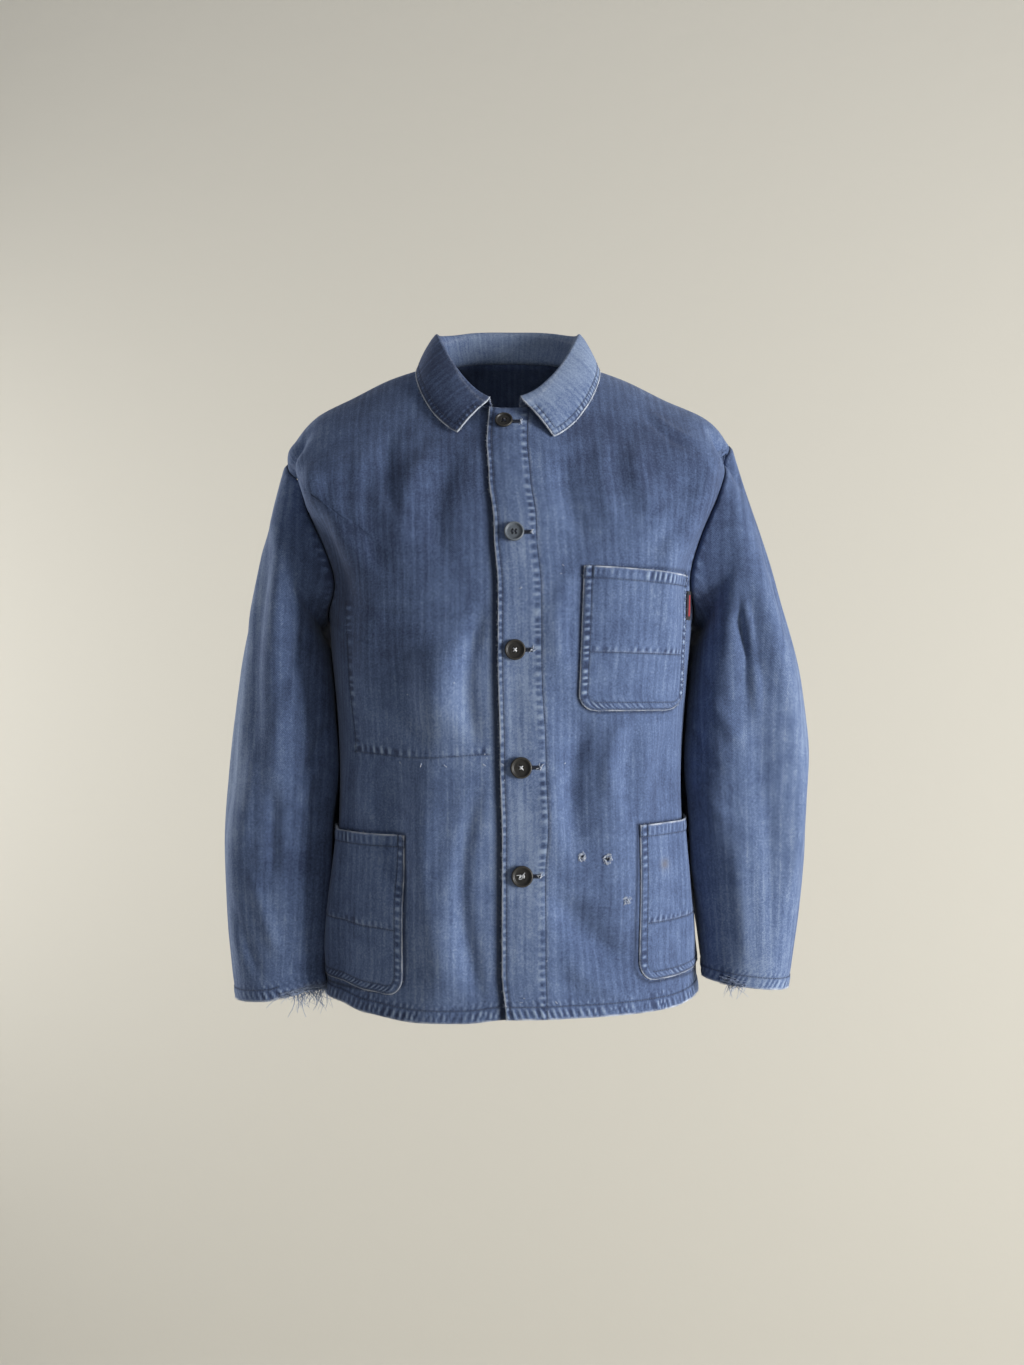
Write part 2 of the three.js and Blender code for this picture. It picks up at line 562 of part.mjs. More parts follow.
// How far the body reaches sideways at a depth and a height below the armhole.
function bodySideX(y, z) {
  let [low, high] = [ARMHOLE.low_row - 1, LAST_ROW];
  for (let i = 0; i < HALVINGS; i++) {
    const row = (low + high) / 2;
    if (column(BODY, "side_z", row) > z) low = row;
    else high = row;
  }
  const middleY = column(BODY, y < 0 ? "front_y" : "back_y", low);
  const square = column(BODY, "square", low);
  const left = Math.max(0, 1 - Math.abs(y / middleY) ** square);
  return column(BODY, "side_x", low) * left ** (1 / square);
}

// A point of a sleeve section, kept clear of the body.
function sectionPoint(side, index, angle) {
  const s = SLEEVES[side > 0 ? "left" : "right"][clamp(index, 0, SECTIONS - 1)];
  const a = radians(angle);
  const r = outline(a, SLEEVE_SQUARE);
  const along = (1 + Math.cos(a) * r) / 2;
  const point = vec(
    mix(s.inner_x, s.outer_x, along),
    s.middle_y - s.depth * Math.sin(a) * r,
    mix(s.inner_z, s.outer_z, along),
  );
  const room = mix(BESIDE.room, BESIDE.pocket_room,
    smooth(BESIDE.pocket_z + 20, BESIDE.pocket_z, point.z));
  point.x = side * Math.max(point.x, bodySideX(point.y, point.z) + room);
  return point;
}

// A bare sleeve point, from the armhole (station 0) through the sections.
function sleeveBase(side, station, angle) {
  const i = clamp(Math.floor(station), 0, SECTIONS);
  const at = (k) => (k < 1 ? armholePoint(side, angle) : sectionPoint(side, k - 1, angle));
  const four = [at(i - 1), at(i), at(i + 1), at(Math.min(i + 2, SECTIONS))];
  const through = (axis) => throughFour(...four.map((p) => p[axis]), station - i);
  return vec(through("x"), through("y"), through("z"));
}

function sleeveFold(side, station, angle) {
  const folds = SLEEVE_FOLDS[side > 0 ? "left" : "right"];
  return foldSum(folds, angle, SLEEVE_PER_DEGREE, (f) => (station - f.from) / (f.to - f.from));
}

// A sleeve: one tube from the armhole to the cuff, with a turned hem.
function sleeve(name, side) {
  const hem = CUFF_HEM_HEIGHT / CUFF_STATION;
  const end = SECTIONS;
  const stations = [...SLEEVE_STATIONS, end - hem - 2 * SAME_ROW, end - hem, end];
  const angles = evenly(SLEEVE_POINTS).slice(0, -1).map((share) => share * 360);
  const bare = grid(stations, angles, (station, angle) => sleeveBase(side, station, angle));
  const moved = (points, lift) => points.map((row, i) => row.map((p, j) => {
    const before = points[Math.max(i - 1, 0)][j];
    const after = points[Math.min(i + 1, stations.length - 1)][j];
    const one = row[(j + SLEEVE_POINTS - 1) % SLEEVE_POINTS];
    const other = row[(j + 1) % SLEEVE_POINTS];
    const normal = other.clone().sub(one).cross(after.clone().sub(before)).normalize();
    return p.clone().addScaledVector(normal, side * lift(stations[i], angles[j]));
  }));
  const inner = moved(bare, (station, angle) => sleeveFold(side, station, angle));
  if (side < 0) inner.at(-1).forEach((p, j) => p.setZ(p.z + cuffWear(angles[j])));
  const outer = moved(inner, (station) => CLOTH + (station > end - hem - SAME_ROW ? HEM_EXTRA : 0));
  return piece(name, wall(inner, outer, true), COLOURS.cloth);
}

function cuffWear(angle) {
  return columnBy(CUFF_WEAR, "turn", "rise", angle);
}

// A number from 0 to 1 that looks random but is the same each time.
function scatter(index, salt) {
  const value = Math.sin(index * 12.9898 + salt * 78.233) * 43758.5453;
  return value - Math.floor(value);
}

// A tapered strand of three sides along a few points.
function strand(points, radius) {
  const rings = points.map((p, i) => {
    const r = radius * (1 - (FRAY.taper * i) / (points.length - 1));
    return [0, 120, 240].map((a) => p.clone().add(
      vec(r * Math.cos(radians(a)), r * Math.sin(radians(a)), 0),
    ));
  });
  const faces = [[0, 2, 1]];
  for (let i = 0; i < rings.length - 1; i++) {
    for (let j = 0; j < 3; j++) {
      const [a, b] = [3 * i + j, 3 * i + ((j + 1) % 3)];
      faces.push([a, b, b + 3], [a, b + 3, a + 3]);
    }
  }
  const last = 3 * (rings.length - 1);
  faces.push([last, last + 1, last + 2]);
  const all = rings.flat();
  const geometry = new THREE.BufferGeometry();
  geometry.setAttribute("position", new THREE.Float32BufferAttribute(
    all.flatMap((p) => [p.x, p.y, p.z]), 3));
  geometry.setIndex(facingOut(all, faces.flat()));
  return geometry;
}

// A point in the middle of the right cuff's worn edge, on the straight line between two of the
// sleeve's own points, with the direction away from the sleeve's middle.
function cuffEdge(angle) {
  const step = 360 / SLEEVE_POINTS;
  const from = Math.floor(angle / step) * step;
  const ends = [from, from + step].map((a) => {
    const p = sleeveBase(-1, SECTIONS, a);
    p.z += cuffWear(a);
    return p;
  });
  const p = ends[0].clone().lerp(ends[1], (angle - from) / step);
  const s = SLEEVES.right.at(-1);
  const away = vec(p.x + (s.outer_x + s.inner_x) / 2, p.y - s.middle_y, 0).normalize();
  return { p: p.addScaledVector(away, (CLOTH + HEM_EXTRA) / 2), away };
}

// The frayed threads under the worn edge of the right cuff.
function cuffFray() {
  const angles = evenly(FRAY.strip_steps).map((share) => mix(FRAY.from, FRAY.to, share));
  const place = (share, angle, lift) => {
    const { p, away } = cuffEdge(angle);
    return p.addScaledVector(away, lift).add(vec(0, 0, -FRAY.clear - share * FRAY.strip_height));
  };
  const inner = grid([0, 1], angles, (share, angle) => place(share, angle, -FRAY.strip_half));
  const outer = grid([0, 1], angles, (share, angle) => place(share, angle, FRAY.strip_half));
  let made = solid(wall(inner, outer));
  for (let i = 0; i < FRAY.strands; i++) {
    const angle = mix(FRAY.from + 2, FRAY.to - 2, (i + 0.6 * scatter(i, 1)) / (FRAY.strands - 0.4));
    const length = mix(FRAY.shortest, FRAY.longest, scatter(i, 2) ** 2);
    const { p, away } = cuffEdge(angle);
    const drift = vec(scatter(i, 3) - 0.5, scatter(i, 4) - 0.5, 0)
      .multiplyScalar(FRAY.drift * length);
    const points = [0, 0.5, 1].map((share) => p.clone()
      .add(vec(0, 0, -FRAY.clear - 0.5 * FRAY.strip_height - share * length))
      .addScaledVector(drift, share ** 2)
      .addScaledVector(away, FRAY.lean * share * scatter(i, 5)));
    made = made.add(solid(strand(points, FRAY.radius)));
  }
  return piece("right_cuff_fray", fromSolid(made), COLOURS.thread);
}

// The middle line of the collar at a station: up the stand, over the fold and down the leaf.
function collarProfile(station, side) {
  const value = (name) => column(COLLAR, name, station);
  const fromEnd = Math.max(0, 1 - station);
  const seamTurn = value("seam_turn") - side * COLLAR_END.seam_turn * fromEnd;
  const lean = side > 0 ? COLLAR_END.leaf_turn * fromEnd : 0;
  const onTop = side > 0 ? lap(seamTurn, 0) : 0;
  const seam = body(side * seamTurn, 0, CLOTH / 2 + onTop);
  const upAlong = seam.down.clone().negate();
  const out = vec(Math.sin(radians(side * seamTurn)), -Math.cos(radians(seamTurn)), 0);
  const base = seam.clone().addScaledVector(upAlong, COLLAR_SEAM_GAP);
  const fold = seam.clone().addScaledVector(out, value("out"));
  fold.z += value("stand");
  const leafTurn = side * (value("leaf_turn") - lean);
  const leafRow = value("leaf_row") + (side > 0 ? COLLAR_END.leaf_row * fromEnd : 0);
  const clear = CLOTH + COLLAR_CLOTH / 2 + COLLAR_CLEAR + (side > 0 ? lap(leafTurn, leafRow) : 0);
  const edge = body(leafTurn, leafRow, clear);
  const inside = fold.clone().addScaledVector(out, -COLLAR_ROLL);
  const outside = fold.clone().addScaledVector(out, COLLAR_ROLL);
  const apex = fold.clone().add(vec(0, 0, COLLAR_ROLL));
  const leaf = (share) => outside.clone().lerp(edge, share)
    .addScaledVector(edge.normal, COLLAR_PUFF * Math.sin(Math.PI * share));
  const foot = base.clone().addScaledVector(upAlong, COLLAR_FOOT);
  const bend = foot.clone().lerp(inside, COLLAR_BEND);
  return [base, foot, bend, inside, apex, outside, leaf(1 / 3), leaf(2 / 3), edge];
}

function collar() {
  const stations = [
    ...COLLAR_STATIONS.map((s) => ({ s, side: -1 })),
    { s: COLLAR.length - 1, side: 1 },
    ...COLLAR_STATIONS.toReversed().map((s) => ({ s, side: 1 })),
  ];
  const middle = stations.map(({ s, side }) => collarProfile(s, side));
  const count = middle[0].length;
  const moved = (lift) => middle.map((row, i) => row.map((p, j) => {
    const before = middle[Math.max(i - 1, 0)][j];
    const after = middle[Math.min(i + 1, middle.length - 1)][j];
    const up = row[Math.max(j - 1, 0)];
    const down = row[Math.min(j + 1, count - 1)];
    const normal = down.clone().sub(up).cross(after.clone().sub(before)).normalize();
    return p.clone().addScaledVector(normal, lift);
  }));
  const geometry = wall(moved(-COLLAR_CLOTH / 2), moved(COLLAR_CLOTH / 2));
  return piece("collar", geometry, COLOURS.cloth);
}

// How far a rounded bottom corner draws the side of a pocket in, at a height over its bottom.
function cornerInset(height, radius) {
  if (height >= radius) return 0;
  return radius - Math.sqrt(radius ** 2 - (radius - height) ** 2);
}

// The rows of a patch pocket as shares of its height: its hem, its middle and its round corners.
function pocketRows(height, corner) {
  const hem = POCKET_HEM / height;
  const round = corner / height;
  const low = CORNER_SHARES.map((share) => 1 - round * (1 - share));
  return [0, hem, hem + SAME_ROW, ...POCKET_SHARES, ...low, 1];
}

function pocketWall(name, height, corner, bulge, place) {
  const rows = pocketRows(height, corner);
  const columns = evenly(POCKET_COLUMNS);
  const puff = (q, p) =>
    bulge * Math.sin(Math.PI * p) * Math.sin(Math.PI * Math.min(1, q + POCKET_MOUTH));
  const under = (q, p) => CLOTH + POCKET_CLEAR + puff(q, p);
  const hem = POCKET_HEM / height + SAME_ROW / 2;
  const over = (q, p) => under(q, p) + POCKET_CLOTH + (q <= hem ? POCKET_HEM_EXTRA : 0);
  const inner = grid(rows, columns, (q, p) => place(q, p, under(q, p)));
  const outer = grid(rows, columns, (q, p) => place(q, p, over(q, p)));
  return piece(name, wall(inner, outer), COLOURS.pocket);
}

function chestPocket() {
  const c = CHEST_POCKET;
  const height = c.top_z - c.bottom_z;
  const place = (q, p, lift) => {
    const inset = cornerInset(height * (1 - q), c.corner);
    const x = mix(mix(c.left_x, c.low_left_x, q) + inset, mix(c.right_x, c.low_right_x, q) - inset, p);
    const { turn, row } = seenAt(x, mix(c.top_z, c.bottom_z, q) - c.drop * p * (1 - q));
    return body(turn, row, lift + lap(turn, row));
  };
  return pocketWall("chest_pocket", height, c.corner, c.bulge, place);
}

// The turn reached from a starting turn by going round the body over a length of cloth.
function turnAlong(start, row, length) {
  const step = 0.5;
  let [turn, gone] = [start, 0];
  let point = bodyBase(turn, row);
  while (gone < length) {
    const next = bodyBase(turn + step, row);
    gone += next.distanceTo(point);
    turn += step;
    point = next;
  }
  return turn - (step * (gone - length)) / Math.max(1e-6, bodyBase(turn - step, row).distanceTo(point));
}

function lowerPocket({ name, side, edge_x, width, top_z, bottom_z }) {
  const height = top_z - bottom_z;
  const place = (q, p, lift) => {
    const start = seenAt(edge_x, mix(top_z, bottom_z, q));
    const inset = cornerInset(height * (1 - q), LOWER_CORNER);
    const cloth = mix(inset, width - inset, p);
    const turn = turnAlong(start.turn, start.row, cloth);
    return body(side * turn, start.row, lift + (side > 0 ? lap(turn, start.row) : 0));
  };
  return pocketWall(name, height, LOWER_CORNER, LOWER_BULGE, place);
}

function innerPocket() {
  const c = INNER_POCKET;
  const place = (q, p, lift) => {
    const { turn, row } = seenAt(mix(c.left_x, c.right_x, p), mix(c.top_z, c.bottom_z, q));
    return body(turn, row, -lift - c.clear);
  };
  const [rows, columns] = [evenly(c.rows), evenly(c.columns)];
  const near = grid(rows, columns, (q, p) => place(q, p, 0));
  const far = grid(rows, columns, (q, p) => place(q, p, POCKET_CLOTH));
  return piece("inner_pocket", wall(far, near), COLOURS.pocket);
}

// A manifold solid from a closed geometry.
function solid(geometry) {
  const bare = geometry.clone();
  bare.deleteAttribute("normal");
  bare.deleteAttribute("uv");
  const merged = mergeVertices(bare, 1e-3);
  return new wasm.Manifold(new wasm.Mesh({
    numProp: 3,
    vertProperties: merged.attributes.position.array,
    triVerts: new Uint32Array(merged.index.array),
  }));
}

function fromSolid(made) {
  const mesh = made.getMesh();
  const geometry = new THREE.BufferGeometry();
  geometry.setAttribute("position", new THREE.BufferAttribute(mesh.vertProperties, 3));
  geometry.setIndex(new THREE.BufferAttribute(mesh.triVerts, 1));
  return geometry;
}

// A dished button with a rim and four sewing holes, its flat back at z = 0.
function buttonGeometry(radius) {
  const b = BUTTON;
  const profile = BUTTON_SECTION.map(
    ({ out, up }) => new THREE.Vector2(radius * out, b.thickness * up));
  let made = solid(new THREE.LatheGeometry(profile, b.facets).rotateX(Math.PI / 2));
  const hole = new THREE.CylinderGeometry(b.hole, b.hole, 3 * b.thickness, b.hole_facets);
  hole.rotateX(Math.PI / 2);
  for (const [x, y] of [[1, 1], [1, -1], [-1, 1], [-1, -1]]) {
    made = made.subtract(solid(hole.clone().translate(b.hole_at * x, b.hole_at * y, 0)));
  }
  return fromSolid(made);
}

function button(index, { x, z, radius }) {
  const { turn, row } = seenAt(x, z);
  const place = body(turn, row, CLOTH + lap(turn, row) + BUTTON.clear);
  const mesh = piece(`button_${index + 1}`, buttonGeometry(radius), COLOURS.button);
  mesh.position.copy(place);
  mesh.quaternion.setFromUnitVectors(vec(0, 0, 1), place.normal);
  return mesh;
}

// The small tab sewn into the outer edge of the chest pocket.
function tab() {
  const place = (q, p, lift) => {
    const { turn, row } = seenAt(TAB.x + TAB.width * p - TAB.slant * q, TAB.top_z - TAB.height * q);
    return body(turn, row, CLOTH + lap(turn, row) + TAB.clear + lift);
  };
  const [rows, columns] = [evenly(TAB.rows), evenly(TAB.columns)];
  const inner = grid(rows, columns, (q, p) => place(q, p, 0));
  const outer = grid(rows, columns, (q, p) => place(q, p, TAB.thickness));
  return piece("label_tab", wall(inner, outer), COLOURS.tab);
}

const jacket = new THREE.Group();
jacket.add(back());
jacket.add(front("left_front", 1));
jacket.add(front("right_front", -1));
jacket.add(sleeve("left_sleeve", 1));
jacket.add(sleeve("right_sleeve", -1));
jacket.add(cuffFray());
jacket.add(collar());
jacket.add(chestPocket());
LOWER_POCKETS.forEach((pocket) => jacket.add(lowerPocket(pocket)));
jacket.add(innerPocket());
BUTTONS.forEach((place, index) => jacket.add(button(index, place)));
jacket.add(tab());

export default jacket;
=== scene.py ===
"""A worn chore jacket in washed blue herringbone twill, dressed over its CAD frame.

Every soft piece repeats the form of its solid as a thin shell on a fine grid, with its seams,
puckers, worn edges and weave. Sizes are millimetres in the tables and metres in the meshes.
"""

import logging
import math
from collections.abc import Callable
from dataclasses import dataclass, field
from enum import Enum, IntEnum
from typing import Protocol

import bpy
import numpy as np
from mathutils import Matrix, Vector


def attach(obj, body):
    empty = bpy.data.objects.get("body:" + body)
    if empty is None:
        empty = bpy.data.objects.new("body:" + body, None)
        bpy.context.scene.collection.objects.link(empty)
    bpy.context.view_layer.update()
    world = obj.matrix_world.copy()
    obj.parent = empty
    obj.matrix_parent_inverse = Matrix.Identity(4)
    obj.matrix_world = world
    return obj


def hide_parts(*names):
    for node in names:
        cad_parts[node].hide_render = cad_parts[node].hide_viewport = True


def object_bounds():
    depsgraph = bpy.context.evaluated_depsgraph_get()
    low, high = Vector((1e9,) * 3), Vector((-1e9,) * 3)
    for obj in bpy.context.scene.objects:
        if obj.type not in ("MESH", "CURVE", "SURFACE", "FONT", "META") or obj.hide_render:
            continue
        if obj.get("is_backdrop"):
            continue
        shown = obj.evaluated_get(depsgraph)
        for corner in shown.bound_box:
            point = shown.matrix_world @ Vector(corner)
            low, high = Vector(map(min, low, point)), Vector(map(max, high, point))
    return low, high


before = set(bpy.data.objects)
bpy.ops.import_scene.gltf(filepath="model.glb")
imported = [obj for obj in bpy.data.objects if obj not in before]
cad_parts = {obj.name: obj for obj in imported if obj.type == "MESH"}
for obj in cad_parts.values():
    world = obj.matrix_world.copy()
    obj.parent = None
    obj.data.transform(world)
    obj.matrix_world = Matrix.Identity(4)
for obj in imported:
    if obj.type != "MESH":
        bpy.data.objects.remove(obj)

LOG = logging.getLogger("chore_jacket")
Array = np.ndarray
Socket = bpy.types.NodeSocket
MM = 0.001


class Side(IntEnum):
    """The wearer's left, at +X, the right, or neither."""

    LEFT = 1
    RIGHT = -1
    MIDDLE = 0


class Slot(Enum):
    """The record's material slots."""

    TWILL = "twill"
    POCKET = "pocket_twill"
    COLLAR = "faded_twill"
    THREAD = "loose_thread"
    BUTTON = "button"
    FADED_BUTTON = "faded_button"
    TAB = "tab"


# Small helpers.


def smooth(start: float | Array, end: float | Array, value: float | Array) -> Array:
    """A soft step: 0 before start, 1 after end, and 3s^2 - 2s^3 between them."""
    s = np.clip((np.asarray(value, float) - start) / (np.asarray(end, float) - start), 0.0, 1.0)
    return s * s * (3 - 2 * s)


def bell(away: float | Array, reach: float | Array) -> Array:
    """A bell of height 1: e to the minus square of distance over reach."""
    return np.exp(-((np.asarray(away, float) / reach) ** 2))


def mix(a: float | Array, b: float | Array, share: float | Array) -> Array:
    """The value a given share of the way from a to b."""
    return a + (b - a) * share


def unit(vectors: Array) -> Array:
    """Vectors of length 1 along the last axis."""
    return vectors / np.maximum(np.linalg.norm(vectors, axis=-1, keepdims=True), 1e-9)


def lattice(seed: int, size: int = 64) -> Array:
    """A square of seeded random numbers from -1 to 1."""
    return np.random.default_rng(seed).uniform(-1, 1, (size, size))


def drift(u: float | Array, v: float | Array, seed: int) -> Array:
    """Soft noise from -1 to 1.

    The four random numbers at the corners of a unit cell, mixed by soft steps of the place
    inside the cell.

    Args:
        u: Place across, in cells.
        v: Place along, in cells.
        seed: Which random numbers to take.

    Returns:
        The noise at each place.
    """
    u, v = np.broadcast_arrays(np.asarray(u, float), np.asarray(v, float))
    table = lattice(seed)
    size = len(table)
    i, j = np.floor(u).astype(int), np.floor(v).astype(int)
    s, t = smooth(0, 1, u - i), smooth(0, 1, v - j)
    corner = [[table[(i + a) % size, (j + b) % size] for b in (0, 1)] for a in (0, 1)]
    return mix(mix(corner[0][0], corner[1][0], s), mix(corner[0][1], corner[1][1], s), t)


def ripple(run: Array, period: float, seed: int) -> Array:
    """An uneven wave along a seam, from about -1 to 1.

    A sine of run over period, raised to a power so that its crests are narrow, whose phase and
    height wander with soft noise, so that no two puckers are alike.

    Args:
        run: Millimetres along the seam.
        period: Mean distance between two crests, in millimetres.
        seed: Which noise to take.

    Returns:
        The wave at each place.
    """
    wander = 0.55 * drift(run / (1.7 * period), 0.5, seed)
    height = 0.55 + 0.55 * drift(run / (2.6 * period), 7.5, seed)
    crest = (1 + np.sin(2 * math.pi * (run / period + wander))) / 2
    return height * (2 * crest**1.8 - 0.85) + 0.3 * drift(2.3 * run / period, 3.5, seed + 9)


def between_rows(values: Array, row: Array) -> Array:
    """Values at fractional rows.

    A Catmull-Rom curve through the four nearest rows, with the end rows repeated.

    Args:
        values: An array whose first axis is the rows.
        row: Fractional rows.

    Returns:
        The values there, with the shape of row and then of one row of values.
    """
    last = len(values) - 1
    i = np.clip(np.floor(row).astype(int), 0, last - 1)
    s = (row - i).reshape(row.shape + (1,) * (values.ndim - 1))
    a, b, c, d = (values[np.clip(i + k, 0, last)] for k in (-1, 0, 1, 2))
    return b + 0.5 * s * (c - a + s * (2 * a - 5 * b + 4 * c - d + s * (3 * b - a - 3 * c + d)))


@dataclass(frozen=True)
class Table:
    """Rows of numbers with named columns, read at fractional rows."""

    names: tuple[str, ...]
    rows: tuple[tuple[float, ...], ...]

    def column(self, name: str) -> Array:
        """One column as an array."""
        return np.array([row[self.names.index(name)] for row in self.rows], float)

    def at(self, name: str, row: float | Array) -> Array:
        """A column at fractional rows, along a Catmull-Rom curve."""
        return between_rows(self.column(name), np.asarray(row, float))

    def by(self, key: str, name: str, value: float | Array) -> Array:
        """A column where the key column has a value, with a soft step between rows.

        Args:
            key: A column that steadily rises or falls.
            name: The column to read.
            value: Values of the key column.

        Returns:
            The values of the named column.
        """
        keys, values = self.column(key), self.column(name)
        if keys[1] < keys[0]:
            keys, values = keys[::-1], values[::-1]
        i = np.clip(np.searchsorted(keys, value), 1, len(keys) - 1)
        return mix(values[i - 1], values[i], smooth(keys[i - 1], keys[i], value))


# Sizes shared with the solids.

CLOTH = 1.6
HEM_EXTRA = 0.9
HEM_HEIGHT = 13.0
CUFF_HEM_HEIGHT = 12.0

BODY = Table(
    ("side_x", "side_z", "front_y", "front_z", "back_y", "back_z", "square"),
    (
        (71, 20, 78, -44, 62, 36, 2.0),
        (93, 14, 90, -64, 78, 20, 2.05),
        (129, 1, 102, -90, 93, -6, 2.1),
        (169, -19, 113, -120, 105, -38, 2.15),
        (210, -39, 123, -150, 113, -74, 2.2),
        (232, -63, 131, -180, 118, -112, 2.3),
        (243, -88, 136, -207, 121, -148, 2.4),
        (226, -147, 140, -240, 122, -192, 2.45),
        (206, -208, 142, -272, 121, -238, 2.5),
        (196, -262, 143, -306, 119, -284, 2.55),
        (189, -334, 143, -352, 118, -344, 2.5),
        (184, -420, 142, -424, 119, -422, 2.5),
        (186, -500, 142, -501, 122, -501, 2.45),
        (194, -582, 142, -582, 126, -582, 2.35),
        (202, -664, 141, -664, 130, -664, 2.25),
    ),
)
LAST_ROW = len(BODY.rows) - 1
RISE = 2.6
NECK_SHIFT_X = -3.3
NECK_SHIFT_ROWS = (3.0, 4.4)
HEM_RISES = Table(
    ("turn", "rise"),
    (
        (-180, 0), (-100, 3), (-75, 7), (-58, 5), (-44, -1), (-28, -5), (-14, -4),
        (0, 1), (30, 1), (52, 1), (72, 5), (100, 3), (180, 0),
    ),
)
HEM_REACH = 2.2
ARMHOLE_TOP_ROW = {Side.LEFT: 5.3, Side.RIGHT: 6.0}
ARMHOLE_LOW_ROW = 9.0
ARMHOLE_REACH = {"front": 34.0, "back": 31.0}
HOLLOW_DEPTH = {"front": 22.0, "back": 10.0}
HOLLOW_REACH = 18.0
HOLLOW_OVAL = 75.0
GIRTH_PER_DEGREE = 3.0
FOLD_END = 0.3
# Left, right, top and bottom of each pocket, and how far its sides lean to the left over it.
POCKET_OUTLINES = (
    (72.5, 182.0, -213.0, -356.0, 6.5), (129.0, 400.0, -472.0, -632.0, 3.0),
    (-400.0, -108.0, -482.0, -641.0, 0.0),
)
POCKET_ROUND = 19.0
# The inner face of a cloth wall takes every third point of the outer one.
STRIDE = 3
# Two panels end this far from the line of their seam.
SEAM_GAP = 0.175
STITCH_LENGTH = 2.9
STITCH_RADIUS = 0.33
# A stitch's middle stands this far over the cloth and its ends dip this far into it.
STITCH_RISE = 0.3
STITCH_DIP = 0.1
# How often a range of rows is halved to find a height, to about a billionth of a row.
HALVINGS = 40
# A distance from an edge or pocket that is too far to matter.
FAR = 99.0

# Folds on the body: the turn and height of the upper end, of the lower end, depth and half width.
BODY_FOLDS = (
    (-72, -52, -64, -175, -9, 9), (72, -48, 65, -165, -9, 9), (-56, -75, -40, -215, 5, 17),
    (-44, -100, -31, -230, -4, 16), (52, -95, 36, -205, -5, 15), (57, -105, 43, -215, 4, 14),
    (-22, -250, -24, -460, 5, 26), (-42, -300, -38, -560, -4, 22),
    (-12, -430, -24, -690, 5, 20), (14, -530, 33, -620, -4.5, 17), (18, -330, 20, -520, -4, 18),
    (30, -380, 34, -600, 4, 18), (-63, -380, -66, -690, 5, 20), (62, -360, 66, -690, 4, 20),
    (116, -110, 132, -300, -6, 18), (-116, -110, -132, -290, -6, 18),
    (140, -260, 146, -690, 7, 26), (-138, -240, -143, -690, 7, 26),
    (163, -300, 160, -690, -6, 24), (-160, -330, -163, -690, -6, 24),
    (180, -280, 178, -690, 5, 24), (112, -400, 108, -690, -5, 20),
    (-112, -420, -110, -690, -5, 20),
)

# Soft creases of the worn cloth, seen from the front or the back: across and up at one end and
# at the other, then depth, out (+) or in (-), and half width.
FRONT_CREASES = (
    (-208, -98, -176, -246, 3.2, 9), (-190, -110, -160, -250, -2.6, 9),
    (-84, -84, -112, -190, 2.6, 13), (-60, -95, -70, -205, -2.4, 12),
    (-126, -66, -110, -168, -2.2, 9), (-152, -80, -146, -206, 1.9, 9),
    (-56, -285, -72, -372, 5.2, 22), (-30, -255, -36, -392, -3.4, 9),
    (-106, -300, -84, -402, -3.4, 14), (-140, -250, -134, -396, 2.4, 14),
    (-80, -430, -58, -640, 4.2, 18), (-33, -430, -30, -650, -3.6, 9),
    (-112, -415, -98, -560, -3.2, 13), (-150, -410, -146, -474, 2.2, 9),
    (112, -362, 98, -446, 2.6, 8), (145, -370, 140, -464, 2.2, 8),
    (78, -362, 64, -484, -2.8, 11), (128, -366, 120, -470, -1.8, 7),
    (160, -372, 162, -455, -1.6, 6), (40, -540, 112, -606, -3.0, 13),
    (50, -600, 124, -646, 2.8, 12), (52, -95, 80, -190, -2.8, 13),
    (128, -76, 150, -168, 3.0, 13), (96, -70, 108, -180, 2.0, 10),
    (138, -44, 190, -86, -1.1, 3.6), (146, -38, 200, -76, 1.0, 3.6),
    (172, -150, 168, -330, 2.4, 10), (-172, -246, -22, -252, -0.9, 3.4),
    (48, -400, 56, -520, 2.0, 12), (60, -210, 52, -330, 2.2, 11),
)
BACK_CREASES = (
    (-120, -90, -80, -260, 3.0, 15), (118, -100, 88, -250, 2.6, 16),
    (-30, -140, -52, -330, -2.6, 14), (42, -150, 58, -380, -2.4, 13),
    (0, -300, 10, -520, 3.2, 20), (-96, -380, -70, -600, -3.4, 16),
    (90, -400, 112, -620, 3.2, 16), (-140, -300, -132, -470, 2.6, 12),
    (30, -430, 70, -640, -2.8, 15),
)

BUTTON_PLACES = ((-4, -60), (3, -178), (4, -295), (10, -412), (11, -520))
BUTTON_RADII = (9.3, 10.2, 10.5, 10.9, 10.9)
# For each button: is it faded grey, is its thread dark, do the strands cross, and the length of
# the loose end of its thread.
SEWN_BUTTONS = (
    (False, True, True, 0.0), (True, True, False, 0.0), (False, False, True, 1.8),
    (False, False, True, 2.4), (False, False, False, 7.0),
)

LEFT_EDGE = Table(
    ("z", "x"),
    (
        (-30, -19), (-80, -21.5), (-125, -19), (-178, -17), (-233, -13), (-303, -13),
        (-399, -11), (-486, -9), (-615, -9), (-664, -5),
    ),
)
UNDERLAP_X = 24.0
LAP_HEIGHT = 2.9
LAP_RANGE = (30.0, 66.0)

